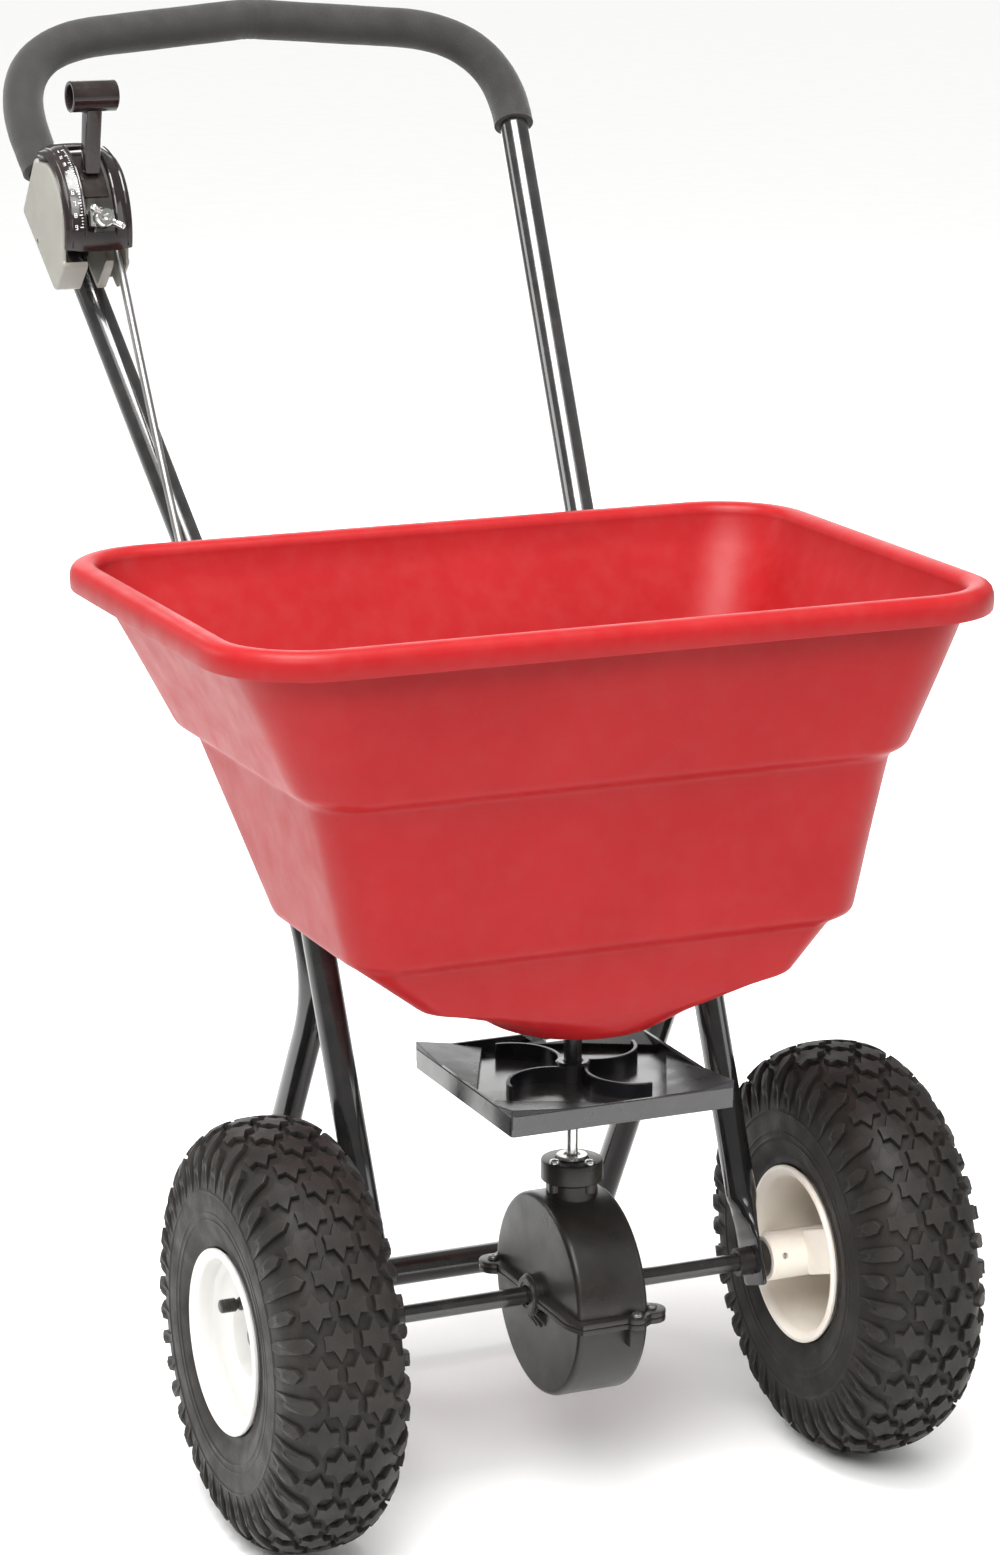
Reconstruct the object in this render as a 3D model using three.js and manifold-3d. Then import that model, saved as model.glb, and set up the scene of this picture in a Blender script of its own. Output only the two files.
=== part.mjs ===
// Walk-behind broadcast spreader: stepped hopper, tube frame, two pneumatic wheels,
// axle-driven gearbox, square impeller, shut-off plate and hand control.
// Millimetres, +Z up. In the machine frame used below the origin is on the ground under
// the axle, +X is the operator's right, +Y points back to the operator.
import * as THREE from "three";
import { mergeVertices } from "three/addons/utils/BufferGeometryUtils.js";
import Module from "manifold-3d";

const wasm = await Module();
wasm.setup();

// ---------- driving dimensions ----------
const gap = 0.3;                 // clearance between touching pieces
const tyreRadius = 150;
const tubeRadius = 11.1;         // 7/8 inch tube
const tubeBore = 9.7;
const axleRadius = 6.35;         // 1/2 inch axle
const axleBore = 6.45;
const driveX = 10;               // centre of the axle's own parts, right of the hopper's centre
const wheelTrackHalf = 218.75;   // wheel centre to the centre of the axle's parts
const rimHalfWidth = 44.5;
const hubRadius = 16.5;
const bearingEnd = 152.7;        // bearing's outer face from the centre of the axle's parts
const valveSeat = { y: 9, z: 22.3 };         // valve from the wheel's axis

const hopperWall = 3;
const bowlBottom = 348.5;        // underside of the hopper's lowest face
const shaftRadius = 4;
const shaftBore = 4.08;

const legX = 142;                // rear legs, half spacing
const legFootY = 303.8;          // where a leg's axis meets the ground
const legLean = -0.577;          // change of y per mm of height
const handleLeanY = 0.81;
const handleLeanX = 0.153;
const handleJointZ = 565;        // handle tube meets the lower tube here
const crossBarZ = 77;

const strutHalf = 143.5;         // strut foot to the centre of the axle's parts
const wheelTurn = -20;           // spokes and drive pin lie this far off level, in degrees

const gearboxRadius = 72.5;
const gearboxHalfWidth = 26.5;
const crownTeeth = 30;
const pinionTeeth = 6;
const pinionRadius = 11;         // pitch radius
const crownRadius = 55;          // pitch radius

const impellerHalf = 84;
const impellerBottom = 299;

const controlX = -191;           // middle of the hand control
const controlHalf = 26;
const leverPivot = { y: 455, z: 858 };
const stopAngle = 78.7;          // rate stop on the dial, degrees forward of vertical
const rodX = -172;

const gripRadius = 15.5;
const gripPeak = { y: 599, z: 995 };         // middle of the bar's axis
const handleCorner = { x: 208.7, y: 586.2, z: 979 };

// the part's own origin lies halfway between the tyres' front and the grip's back
const middleY = (gripPeak.y + gripRadius - tyreRadius) / 2;

// ---------- small tools ----------
const rad = THREE.MathUtils.degToRad;
const V = (x, y, z) => new THREE.Vector3(x, y, z);

function weld(geometry) {
  const bare = geometry.clone();
  bare.deleteAttribute("normal");
  bare.deleteAttribute("uv");
  const merged = mergeVertices(bare, 1e-4);
  const index = merged.index.array;
  const kept = [];
  for (let i = 0; i < index.length; i += 3) {
    const [a, b, c] = [index[i], index[i + 1], index[i + 2]];
    if (a !== b && b !== c && c !== a) kept.push(a, b, c);
  }
  merged.setIndex(kept);
  return merged;
}

function signedVolume(geometry) {
  const p = geometry.attributes.position;
  const index = geometry.index.array;
  const [a, b, c] = [V(), V(), V()];
  let sum = 0;
  for (let i = 0; i < index.length; i += 3) {
    a.fromBufferAttribute(p, index[i]);
    b.fromBufferAttribute(p, index[i + 1]);
    c.fromBufferAttribute(p, index[i + 2]);
    sum += a.dot(b.cross(c));
  }
  return sum / 6;
}

function solid(geometry) {
  const welded = weld(geometry);
  const index = Uint32Array.from(welded.index.array);
  if (signedVolume(welded) < 0) {
    for (let i = 0; i < index.length; i += 3) {
      [index[i + 1], index[i + 2]] = [index[i + 2], index[i + 1]];
    }
  }
  const vertProperties = Float32Array.from(welded.attributes.position.array);
  return new wasm.Manifold(new wasm.Mesh({ numProp: 3, vertProperties, triVerts: index }));
}

function geometryOf(manifold) {
  const mesh = manifold.getMesh();
  const geometry = new THREE.BufferGeometry();
  geometry.setAttribute("position", new THREE.BufferAttribute(mesh.vertProperties, 3));
  geometry.setIndex(new THREE.BufferAttribute(mesh.triVerts, 1));
  return geometry;
}

function join(...pieces) {
  return pieces.reduce((sum, piece) => sum.add(piece));
}

// box between two corners
function box(x0, y0, z0, x1, y1, z1) {
  const geometry = new THREE.BoxGeometry(x1 - x0, y1 - y0, z1 - z0);
  geometry.translate((x0 + x1) / 2, (y0 + y1) / 2, (z0 + z1) / 2);
  return solid(geometry);
}

// round bar between two points; a second radius makes a cone
function bar(from, to, radius, sides = 24, endRadius = radius) {
  const axis = to.clone().sub(from);
  const geometry = new THREE.CylinderGeometry(endRadius, radius, axis.length(), sides);
  geometry.translate(0, axis.length() / 2, 0);
  geometry.applyQuaternion(new THREE.Quaternion().setFromUnitVectors(V(0, 1, 0), axis.normalize()));
  geometry.translate(from.x, from.y, from.z);
  return solid(geometry);
}

const barX = (x0, x1, y, z, radius, sides) => bar(V(x0, y, z), V(x1, y, z), radius, sides);
const barZ = (x, y, z0, z1, radius, sides) => bar(V(x, y, z0), V(x, y, z1), radius, sides);

// turned shape; profile is a list of [radius, distance along the axis]
function turned(profile, axis, segments) {
  const points = [...profile, profile[0]].map(([r, h]) => new THREE.Vector2(r, h));
  const geometry = new THREE.LatheGeometry(points, segments);
  if (axis === "x") geometry.rotateZ(-Math.PI / 2);
  if (axis === "z") geometry.rotateX(Math.PI / 2);
  return solid(geometry);
}

// plate cut from an outline in the YZ plane, between two x values
function plateX(outline, x0, x1) {
  const shape = new THREE.Shape(outline.map(([y, z]) => new THREE.Vector2(y, z)));
  const geometry = new THREE.ExtrudeGeometry(shape, { depth: x1 - x0, bevelEnabled: false });
  geometry.rotateY(Math.PI / 2);
  geometry.rotateX(Math.PI / 2);
  geometry.translate(x0, 0, 0);
  return solid(geometry);
}

// plate cut from an outline in the XY plane, between two z values
function plateZ(outline, z0, z1) {
  const shape = new THREE.Shape(outline.map(([x, y]) => new THREE.Vector2(x, y)));
  const geometry = new THREE.ExtrudeGeometry(shape, { depth: z1 - z0, bevelEnabled: false });
  geometry.translate(0, 0, z0);
  return solid(geometry);
}

// surface through rings of equal length; loop joins the last ring to the first
function skin(rings, loop) {
  const count = rings[0].length;
  const positions = [];
  for (const ring of rings) {
    for (const p of ring) positions.push(p.x, p.y, p.z);
  }
  const index = [];
  const spans = loop ? rings.length : rings.length - 1;
  for (let i = 0; i < spans; i++) {
    const next = (i + 1) % rings.length;
    for (let j = 0; j < count; j++) {
      const k = (j + 1) % count;
      const [a, b, c, d] = [i * count + j, i * count + k, next * count + k, next * count + j];
      index.push(a, b, c, a, c, d);
    }
  }
  if (!loop) {
    const last = (rings.length - 1) * count;
    for (let j = 1; j < count - 1; j++) {
      index.push(0, j + 1, j);
      index.push(last, last + j, last + j + 1);
    }
  }
  const geometry = new THREE.BufferGeometry();
  geometry.setAttribute("position", new THREE.BufferAttribute(new Float32Array(positions), 3));
  geometry.setIndex(index);
  return solid(geometry);
}

// points along straight runs with rounded corners of one radius
function route(corners, radius, bendSteps = 6) {
  const points = [corners[0]];
  for (let i = 1; i < corners.length - 1; i++) {
    const back = corners[i - 1].clone().sub(corners[i]).normalize();
    const ahead = corners[i + 1].clone().sub(corners[i]).normalize();
    const turn = Math.PI - back.angleTo(ahead);
    const reach = radius * Math.tan(turn / 2);
    const start = corners[i].clone().addScaledVector(back, reach);
    const end = corners[i].clone().addScaledVector(ahead, reach);
    const bend = new THREE.QuadraticBezierCurve3(start, corners[i], end);
    points.push(...bend.getPoints(bendSteps));
  }
  points.push(corners[corners.length - 1]);
  return points;
}

// rings square to a route, with a normal carried along it
function ringsAlong(points, radius, sides) {
  const start = points[1].clone().sub(points[0]).normalize();
  let normal = Math.abs(start.x) > 0.9 ? V(0, 1, 0) : V(1, 0, 0);
  return points.map((point, i) => {
    const before = points[Math.max(i - 1, 0)];
    const after = points[Math.min(i + 1, points.length - 1)];
    const tangent = after.clone().sub(before).normalize();
    normal = normal.clone().addScaledVector(tangent, -normal.dot(tangent)).normalize();
    const side = tangent.clone().cross(normal);
    return Array.from({ length: sides }, (_, j) => {
      const angle = (2 * Math.PI * j) / sides;
      return point.clone()
        .addScaledVector(normal, radius * Math.cos(angle))
        .addScaledVector(side, radius * Math.sin(angle));
    });
  });
}

function pipe(points, outer, inner, sides = 10) {
  const outside = ringsAlong(points, outer, sides);
  const inside = ringsAlong(points, inner, sides).reverse();
  return skin([...outside, ...inside], true);
}

const rod = (points, radius, sides) => skin(ringsAlong(points, radius, sides), false);

const spreader = new THREE.Group();
spreader.name = "broadcast_spreader";
spreader.position.y = -middleY;

const paints = {
  hopper_red: [0xc4393c, 0.45, 0],
  black_paint: [0x141414, 0.3, 0.4],
  black_plastic: [0x1a1a1b, 0.5, 0],
  black_gloss_plastic: [0x121213, 0.25, 0],
  grey_plastic: [0x8d8b80, 0.5, 0],
  foam: [0x33302f, 0.95, 0],
  white_plastic: [0xe9e8e4, 0.5, 0],
  tyre_rubber: [0x26262a, 0.9, 0],
  steel: [0xb9bcc0, 0.3, 1],
  nylon: [0xe8e4d8, 0.5, 0],
};

function place(name, manifold, paint) {
  const [color, roughness, metalness] = paints[paint];
  const material = new THREE.MeshStandardMaterial({ color, roughness, metalness });
  const mesh = new THREE.Mesh(geometryOf(manifold), material);
  mesh.name = name;
  spreader.add(mesh);
}

const sides = [["left", -1], ["right", 1]];
const mirrored = (points, side) => points.map((p) => V(p.x * side, p.y, p.z));

// foot and top of a strut's axis; the feet straddle the axle's parts
const strutEnds = (side) => [V(driveX + strutHalf * side, 0, tyreRadius), V(145.2 * side, 98.8, 422)];

// ---------- hopper ----------
// level rounded rectangle: centre x, half width, front y, rear y, corner radius, height
function levelRing({ cx = 0, half, front, rear, corner, z }) {
  const perCorner = 4;
  const ring = [];
  const corners = [
    [cx + half - corner, rear - corner, 0],
    [cx - half + corner, rear - corner, 90],
    [cx - half + corner, front + corner, 180],
    [cx + half - corner, front + corner, 270],
  ];
  for (const [x, y, start] of corners) {
    for (let i = 0; i <= perCorner; i++) {
      const angle = rad(start + (90 * i) / perCorner);
      ring.push(V(x + corner * Math.cos(angle), y + corner * Math.sin(angle), z));
    }
  }
  return ring;
}

function grown(level, by, z) {
  const { cx = 0, half, front, rear, corner } = level;
  return { cx, half: half + by, front: front - by, rear: rear + by, corner: corner + by, z };
}

const circleLevel = (r, z) => ({ cx: driveX, half: r, front: -r, rear: r, corner: r - 0.01, z });

const rimLevel = { half: 275, front: -127.4, rear: 246, corner: 60, z: 656.7 };
const bowlLevels = [
  circleLevel(46, bowlBottom),
  circleLevel(62, 353),
  circleLevel(75, 361),
  { cx: 9, half: 89, front: -80, rear: 79, corner: 72, z: 369 },
  { cx: 7, half: 105, front: -84, rear: 81, corner: 58, z: 377 },
  { cx: 4, half: 124, front: -86, rear: 82, corner: 36, z: 386 },
];
const tierLevels = [
  { cx: 2.5, half: 136, front: -87, rear: 82.5, corner: 16, z: 391 },
  { cx: -3, half: 175, front: -90, rear: 76, corner: 26, z: 424 },
  { cx: -1, half: 186, front: -98, rear: 84, corner: 32, z: 428.5 },
  { cx: 0, half: 190, front: -100, rear: 93, corner: 34, z: 433.5 },
  { cx: 0, half: 213, front: -104, rear: 172, corner: 38, z: 541 },
  { cx: 0, half: 222, front: -111.5, rear: 186, corner: 43, z: 545 },
  { cx: 0, half: 227, front: -114.5, rear: 194, corner: 46, z: 551 },
];

function hopper() {
  const wallTop = grown(rimLevel, -6.5, 648);
  const lip = [
    [6.5, 649], [6.8, 638], [10.2, 638], [10.6, 647], [8.6, 653], [4.5, 656.2], [0, 656.7],
  ].map(([by, z]) => grown(rimLevel, by, z));
  const outside = [...bowlLevels, ...tierLevels, wallTop, ...lip, grown(rimLevel, -5, 655.5)];
  const lowered = [...bowlLevels, ...tierLevels, grown(rimLevel, -6.5, 654)];
  const inside = lowered.map((level) => grown(level, -hopperWall, level.z + hopperWall));
  inside.push(grown(rimLevel, -9.2, 670));
  let body = skin(outside.map(levelRing), false);
  for (const [, side] of sides) {
    const x = 145 * side;
    body = body.add(box(x - 13, 84, 430.5, x + 13, 122, 447));
  }
  let room = skin(inside.map(levelRing), false);
  for (const [, side] of sides) {
    // the rear corners are moulded round the tops of the struts
    const [foot, top] = strutEnds(side);
    const above = top.clone().add(V(0, 3, 8.3));
    body = body.subtract(bar(foot, above, tubeRadius + 2 * gap, 16));
    room = room.subtract(bar(foot, above, tubeRadius + 2 * gap + hopperWall, 16));
  }
  body = body.subtract(room);
  body = body.subtract(barZ(driveX, 0, 330, 380, 7));
  for (const angle of [45, 90, 135]) {
    const x = driveX + 28 * Math.cos(rad(angle));
    const y = 28 * Math.sin(rad(angle));
    body = body.subtract(barZ(x, y, 330, 360, 8, 20));
  }
  return body;
}

// ---------- frame ----------
function handlePoint(z) {
  return V(158.4 + handleLeanX * (z - 650), 319.7 + handleLeanY * (z - 650), z);
}

const legPoint = (z) => V(legX, legFootY + legLean * z, z);
const kneeZ = 368.1;             // where the upper and lower runs of a side tube would cross

function sideTube(side) {
  const top = handlePoint(handleJointZ - 2);
  const knee = V(legX, legPoint(kneeZ).y, kneeZ);
  const line = route([top, knee, legPoint(12)], 75, 5);
  const along = top.clone().sub(knee).normalize();
  const upTube = (distance) => top.clone().addScaledVector(along, distance);
  return join(
    pipe(mirrored(line, side), tubeRadius, tubeBore),
    pipe(mirrored([upTube(-20), upTube(-2)], side), tubeBore + 0.3, tubeBore - 2.4),
    pipe(mirrored([handlePoint(548), handlePoint(594)], side), tubeBore - 0.8, tubeBore - 2.4),
  );
}

function handleRoute(rightZ, leftZ) {
  const corner = V(handleCorner.x, handleCorner.y, handleCorner.z);
  const left = handlePoint(leftZ);
  left.x *= -1;
  const peak = V(0, gripPeak.y, gripPeak.z);
  const corners = [handlePoint(rightZ), corner, peak, V(-corner.x, corner.y, corner.z), left];
  return route(corners, 85, 5);
}

// bolt along X with a round head and a nut
function boltX(x0, x1, y, z, radius = 3) {
  return join(
    barX(x0, x1, y, z, radius, 8),
    barX(x0 - 3, x0, y, z, radius * 2, 8),
    barX(x1, x1 + 3, y, z, radius * 1.8, 6),
  );
}

const holeX = (x, y, z, radius = 3.3) => barX(x - 40, x + 40, y, z, radius, 12);

const jointBoltZ = 588;
const strutBolt = { y: 97, z: 413.5 };
const legBolt = { y: 126, z: 411 };
const bracketX = 127.2;

function handleTube() {
  const tube = pipe(handleRoute(handleJointZ, handleJointZ), tubeRadius, tubeBore + 0.35);
  const joint = handlePoint(jointBoltZ);
  return tube.subtract(holeX(joint.x, joint.y, joint.z)).subtract(holeX(-joint.x, joint.y, joint.z));
}

function strut(side) {
  const [foot, top] = strutEnds(side);
  const along = top.clone().sub(foot).normalize();
  const at = (distance) => foot.clone().addScaledVector(along, distance);
  const across = along.clone().cross(V(1, 0, 0)).normalize();
  const through = across.clone().cross(along).normalize();
  // crushed end: [distance up the strut, half width, half thickness]
  const crush = [[-18, 15, 2], [-16, 16.8, 2], [-6, 17.4, 2], [14, 17, 2], [24, 15.5, 3.5], [36, 13, 7],
    [48, tubeRadius, tubeRadius]];
  const length = top.distanceTo(foot);
  const rings = [...crush, [length, tubeRadius, tubeRadius]].map(([distance, wide, thick]) =>
    Array.from({ length: 12 }, (_, j) => {
      const angle = (2 * Math.PI * j) / 12;
      const square = thick < 6 ? 0.45 : 1;
      const c = Math.sign(Math.cos(angle)) * Math.abs(Math.cos(angle)) ** square;
      return at(distance)
        .addScaledVector(across, wide * c)
        .addScaledVector(through, thick * Math.sin(angle));
    }));
  const bore = bar(at(52), at(length + 5), tubeBore, 16);
  return skin(rings, false)
    .subtract(bore)
    .subtract(holeX(foot.x, 0, foot.z, 10.4))
    .subtract(holeX(legX * side, strutBolt.y, strutBolt.z));
}

function sideBracket(side) {
  const outline = [[84, 398], [140, 398], [146, 404], [146, 424], [84, 424]];
  const inner = bracketX * side;
  const outer = (bracketX + 3) * side;
  return plateX(outline, Math.min(inner, outer), Math.max(inner, outer))
    .subtract(holeX(inner, strutBolt.y, strutBolt.z))
    .subtract(holeX(inner, legBolt.y, legBolt.z));
}

function bracketBolt(side, at, tubeX) {
  const near = (bracketX - gap) * side;
  const far = (tubeX + tubeRadius + gap) * side;
  return boltX(Math.min(near, far), Math.max(near, far), at.y, at.z);
}

function handleBolt(side) {
  const joint = handlePoint(jointBoltZ);
  const reach = tubeRadius + 1;
  return boltX(joint.x * side - reach, joint.x * side + reach, joint.y, joint.z);
}

// cross plate behind the bowl, tying the two side brackets
function crossPlate() {
  const inner = bracketX - gap;
  return join(
    box(-inner, 132, 398, inner, 135, 424),
    box(-inner, 120, 398, -inner + 3, 135, 424),
    box(inner - 3, 120, 398, inner, 135, 424),
  ).subtract(barX(-200, 200, legBolt.y, legBolt.z, 7.5, 16));
}

function crossBar() {
  const centre = legPoint(crossBarZ);
  const half = legX - tubeRadius - gap;
  const points = [V(-half, centre.y, centre.z), V(half, centre.y, centre.z)];
  return pipe(points, tubeRadius, tubeBore, 16);
}

function footCap(side) {
  const line = mirrored([legPoint(-14), legPoint(9), legPoint(34), legPoint(60)], side);
  const sleeve = bar(line[0], line[2], 14.5, 20);
  const socket = bar(line[1], line[3], tubeRadius + gap, 20);
  return sleeve.subtract(socket).intersect(box(-300, 200, 0, 300, 400, 80));
}

function axleBearing(side) {
  const [inner, flange] = [130.5, strutHalf + 2 + 3 * gap];      // clear of the leaning strut
  const profile = [[axleBore, inner], [10, inner], [10, flange], [13.5, flange],
    [13.5, bearingEnd - 1], [12.5, bearingEnd], [axleBore, bearingEnd]];
  return turned(profile.map(([r, x]) => [r, x * side]), "x", 24).translate([driveX, 0, tyreRadius]);
}

// ---------- gearbox ----------
const flangeScrews = [[31, -66, 10], [-31, 66, 10], [14.5, -77.5, 7], [-14.5, 77.5, 7]]
  .map(([x, y, ear]) => [x + driveX, y, ear]);
const collarTop = 247;

function gearboxBody() {
  const [w, r] = [gearboxHalfWidth, gearboxRadius];
  const drum = [[0, -w], [r - 5, -w], [r - 1.5, -w + 1.5], [r, -w + 5], [r, w - 5],
    [r - 1.5, w - 1.5], [r - 5, w], [0, w]];
  const centred = turned(drum, "x", 30).translate([driveX, 0, tyreRadius]);
  const boss = barX(driveX - w - 9, driveX + w + 9, 0, tyreRadius, 14, 24);
  const half = [[-27, -76], [30, -76], [30, 70], [27, 76]];
  const plate = plateZ([...half, ...half.map(([x, y]) => [-x, -y])], 146, 154);
  let flange = plate.translate([driveX, 0, 0]);
  for (const [x, y, ear] of flangeScrews) flange = flange.add(barZ(x, y, 146, 154, ear, 16));
  const neck = barZ(driveX, 0, 200, 234, 18.5, 28);
  const collar = barZ(driveX, 0, 232, collarTop, 22, 28);
  return join(centred, boss, flange, neck, collar);
}

function gearboxRoom() {
  const w = gearboxHalfWidth - 3;
  const r = gearboxRadius - 3;
  let room = barX(driveX - w, driveX + w, 0, tyreRadius, r, 30);
  room = room.add(barX(-100, 100, 0, tyreRadius, 7.2, 16));
  room = room.add(barZ(driveX, 0, 150, 300, 8.3, 24));
  for (const [x, y] of flangeScrews) room = room.add(barZ(x, y, 140, 160, 2.4, 10));
  return room;
}

function gearboxHalf(upper) {
  const shell = gearboxBody().subtract(gearboxRoom());
  const keep = upper
    ? box(-200, -200, tyreRadius + gap / 2, 200, 200, 400)
    : box(-200, -200, 0, 200, 200, tyreRadius - gap / 2);
  return shell.intersect(keep);
}

function gearboxScrew(x, y) {
  return join(barZ(x, y, 144.5, 154.3, 2, 10), barZ(x, y, 154.3, 157, 4, 12));
}

function collarBush() {
  const profile = [[shaftBore, 226], [8, 226], [8, collarTop + gap], [11, collarTop + gap],
    [11, collarTop + 3], [shaftBore, collarTop + 3]];
  return turned(profile, "z", 24).translate([driveX, 0, 0]);
}

function crownGear() {
  const face = driveX - pinionRadius;        // pitch plane of the crown's teeth
  const disc = barX(face - 10, face - 3, 0, tyreRadius, 62, 30);
  const hub = barX(face - 12, face - 3, 0, tyreRadius, 14, 20);
  let gear = disc.add(hub).subtract(holeX(0, 0, tyreRadius, axleRadius + gap));
  const tooth = plateX([[-1.7, 48], [1.7, 48], [1.9, 61.5], [-1.9, 61.5]], face - 3.5, face + 1.9);
  for (let i = 0; i < crownTeeth; i++) {
    const turn = (360 * (i + 0.5)) / crownTeeth;
    gear = gear.add(tooth.rotate([turn, 0, 0]).translate([0, 0, tyreRadius]));
  }
  return gear;
}

function pinion() {
  const outline = [];
  for (let i = 0; i < pinionTeeth; i++) {
    const centre = 180 + (360 * i) / pinionTeeth;
    const steps = [[8.1, -14], [13.1, -7], [13.1, 7], [8.1, 14]];
    for (const [r, turn] of steps) {
      const angle = rad(centre + turn);
      outline.push([r * Math.cos(angle), r * Math.sin(angle)]);
    }
  }
  return plateZ(outline, 197, 213)
    .subtract(barZ(0, 0, 190, 220, shaftRadius + gap, 20))
    .translate([driveX, 0, 0]);
}

// ---------- impeller and its shaft ----------
const shaftTop = 374;
const hubTop = 343.2;

function impellerShaft() {
  return barZ(driveX, 0, 190, shaftTop, shaftRadius, 24);
}

// gently bowed strip from the hub outwards
function vaneOutline() {
  const steps = 10;
  const arc = (r) => Array.from({ length: steps + 1 }, (_, i) => {
    const angle = rad(-37 + (124 * i) / steps);
    return [-33.6 + r * Math.cos(angle), 27.9 + r * Math.sin(angle)];
  });
  return [...arc(34.7), ...arc(31.7).reverse()];
}

function impeller() {
  const h = impellerHalf;
  const z0 = impellerBottom;
  const skirt = box(-h, -h, z0, h, h, z0 + 15).subtract(box(-h + 3, -h + 3, z0 - 1, h - 3, h - 3, z0 + 20));
  const floor = box(-h + 1, -h + 1, z0 + 4, h - 1, h - 1, z0 + 7);
  let wheel = skirt.add(floor);
  // each corner is a raised pocket, creased from the corner to the middle of its long edge
  const [tall, shortLeg, longLeg, crease] = [[-h, h, 19.7], [-h + 52, h, 11], [-h, h - 108, 9],
    [-h + 26, h - 54, 11.5]];
  const prism = (...tops) => wasm.Manifold.hull(
    tops.flatMap(([x, y, up]) => [[x, y, z0 + 5], [x, y, z0 + up]]),
  );
  const wedge = prism(tall, shortLeg, crease).add(prism(tall, crease, longLeg));
  const vane = plateZ(vaneOutline(), z0 + 5, z0 + 18);
  for (let i = 0; i < 4; i++) {
    wheel = wheel.add(wedge.rotate([0, 0, 90 * i])).add(vane.rotate([0, 0, 90 * i]));
  }
  wheel = wheel.add(barZ(0, 0, z0, z0 + 20, 12, 24)).add(barZ(0, 0, z0, hubTop, 6.3, 24));
  return wheel.subtract(barZ(0, 0, z0 - 5, 360, shaftRadius + gap, 20)).translate([driveX, 0, 0]);
}

function agitator() {
  const z = 366;
  const cross = join(
    barX(driveX - 22, driveX + 22, 0, z, 2.2, 12),
    barZ(driveX, 0, z - 4, z + 4, 7, 20),
  );
  return cross.subtract(barZ(driveX, 0, 340, 390, shaftRadius + gap, 20));
}

function bowlBush() {
  const floor = bowlBottom + hopperWall + gap;
  const profile = [[shaftBore, bowlBottom + 0.2], [6.6, bowlBottom + 0.2], [6.6, floor], [11, floor],
    [11, floor + 3], [shaftBore, floor + 3]];
  return turned(profile, "z", 24).translate([driveX, 0, 0]);
}

// ---------- shut-off plate and its rod ----------
const plateTop = bowlBottom - 0.4;
const plateThick = 2;
const hook = { x: -38, y: 90 };

function shutoffPlate() {
  const z0 = plateTop - plateThick;
  let plate = box(driveX - 36, -34, z0, driveX + 36, 62, plateTop);
  plate = plate.add(box(hook.x - 10, 50, z0, driveX + 10, hook.y + 9, plateTop));
  plate = plate.subtract(box(driveX - 8.5, -9, 300, driveX + 8.5, 30, 400));
  for (const angle of [45, 135]) {
    const x = driveX + 28 * Math.cos(rad(angle));
    const y = 28 * Math.sin(rad(angle)) + 16.3;
    plate = plate.subtract(barZ(x, y, 300, 400, 7.5, 20));
  }
  return plate.subtract(barZ(hook.x, hook.y, 300, 400, 4.4, 12));
}

function plateGuide(side) {
  const wall = driveX + 36.4 * side;
  const span = (a, b) => [Math.min(a, b), Math.max(a, b)];
  const [x0, x1] = span(wall, wall + 5 * side);
  const [lipX0, lipX1] = span(wall - 5 * side, wall + 5 * side);
  const z0 = plateTop - plateThick - gap;
  return join(box(x0, -22, z0 - 2, x1, 22, bowlBottom - gap), box(lipX0, -22, z0 - 2, lipX1, 22, z0));
}

// route of the rod, from its hook in the plate to the lever; it stands clear of the side tube
function controlRod() {
  const points = [V(hook.x, hook.y, 338), V(hook.x, hook.y, 356), V(-52, 99, 378), V(-98, 128, 436),
    V(-141, 168, 500), V(-163, 205, 542), V(-169, 244, 581), V(rodX, 416, 842), V(rodX, 424, 854)];
  const curve = new THREE.CatmullRomCurve3(points, false, "centripetal");
  return rod(curve.getPoints(26), 3, 8);
}

// ---------- hand control ----------
const dialPoint = (angle, r) => [
  leverPivot.y - r * Math.sin(rad(angle)),
  leverPivot.z + r * Math.cos(rad(angle)),
];

// slice of the dial between two angles and two radii, as an outline in the YZ plane
function dialSlice(from, to, inner, outer, steps = 12) {
  const angles = Array.from({ length: steps + 1 }, (_, i) => from + ((to - from) * i) / steps);
  const outward = angles.map((angle) => dialPoint(angle, outer));
  const inward = angles.reverse().map((angle) => dialPoint(angle, inner));
  return [...outward, ...inward];
}

function controlHousing() {
  const [x0, x1] = [controlX - controlHalf, controlX + controlHalf];
  const front = dialSlice(-8, 96, 0, 53 - 3 - 3 * gap, 8).slice(0, 9).reverse();
  const outline = [[471, 909], [503, 865], [429, 813], [406, 835], ...front];
  const room = [[467, 940], [499, 865], [429.5, 817], [409, 837], [380, 850], [380, 940]];
  const tube = [handlePoint(790), handlePoint(940)].map((p) => V(-p.x, p.y, p.z));
  return plateX(outline, x0, x1)
    .subtract(plateX(room, x0 + 3, x1 - 3))
    .subtract(bar(tube[0], tube[1], tubeRadius + gap, 24))
    .subtract(box(rodX - 6, 380, 800, x1 - 3, 440, 845))
    .subtract(barX(x0 + 1, x1 + 1, leverPivot.y, leverPivot.z, 3.3, 12));
}

function controlCover() {
  const h = controlHalf;
  const crown = [[53, -h], [57.5, -h + 5], [61, -h + 12], [62, 0], [61, h - 12], [57.5, h - 5], [53, h]];
  const under = crown.map(([r, x]) => [r - 3, x * 0.9]).reverse();
  const dome = turned([...crown, ...under], "x", 48)
    .translate([controlX, leverPivot.y, leverPivot.z]);
  const wedge = plateX(dialSlice(-9, 101, 30, 90), controlX - 60, controlX + 60);
  const slot = plateX(dialSlice(14, 88, 30, 90), controlX - 11, controlX + 11);
  return dome.intersect(wedge).subtract(slot);
}

const knob = { y: 411, z: 957 };

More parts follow.
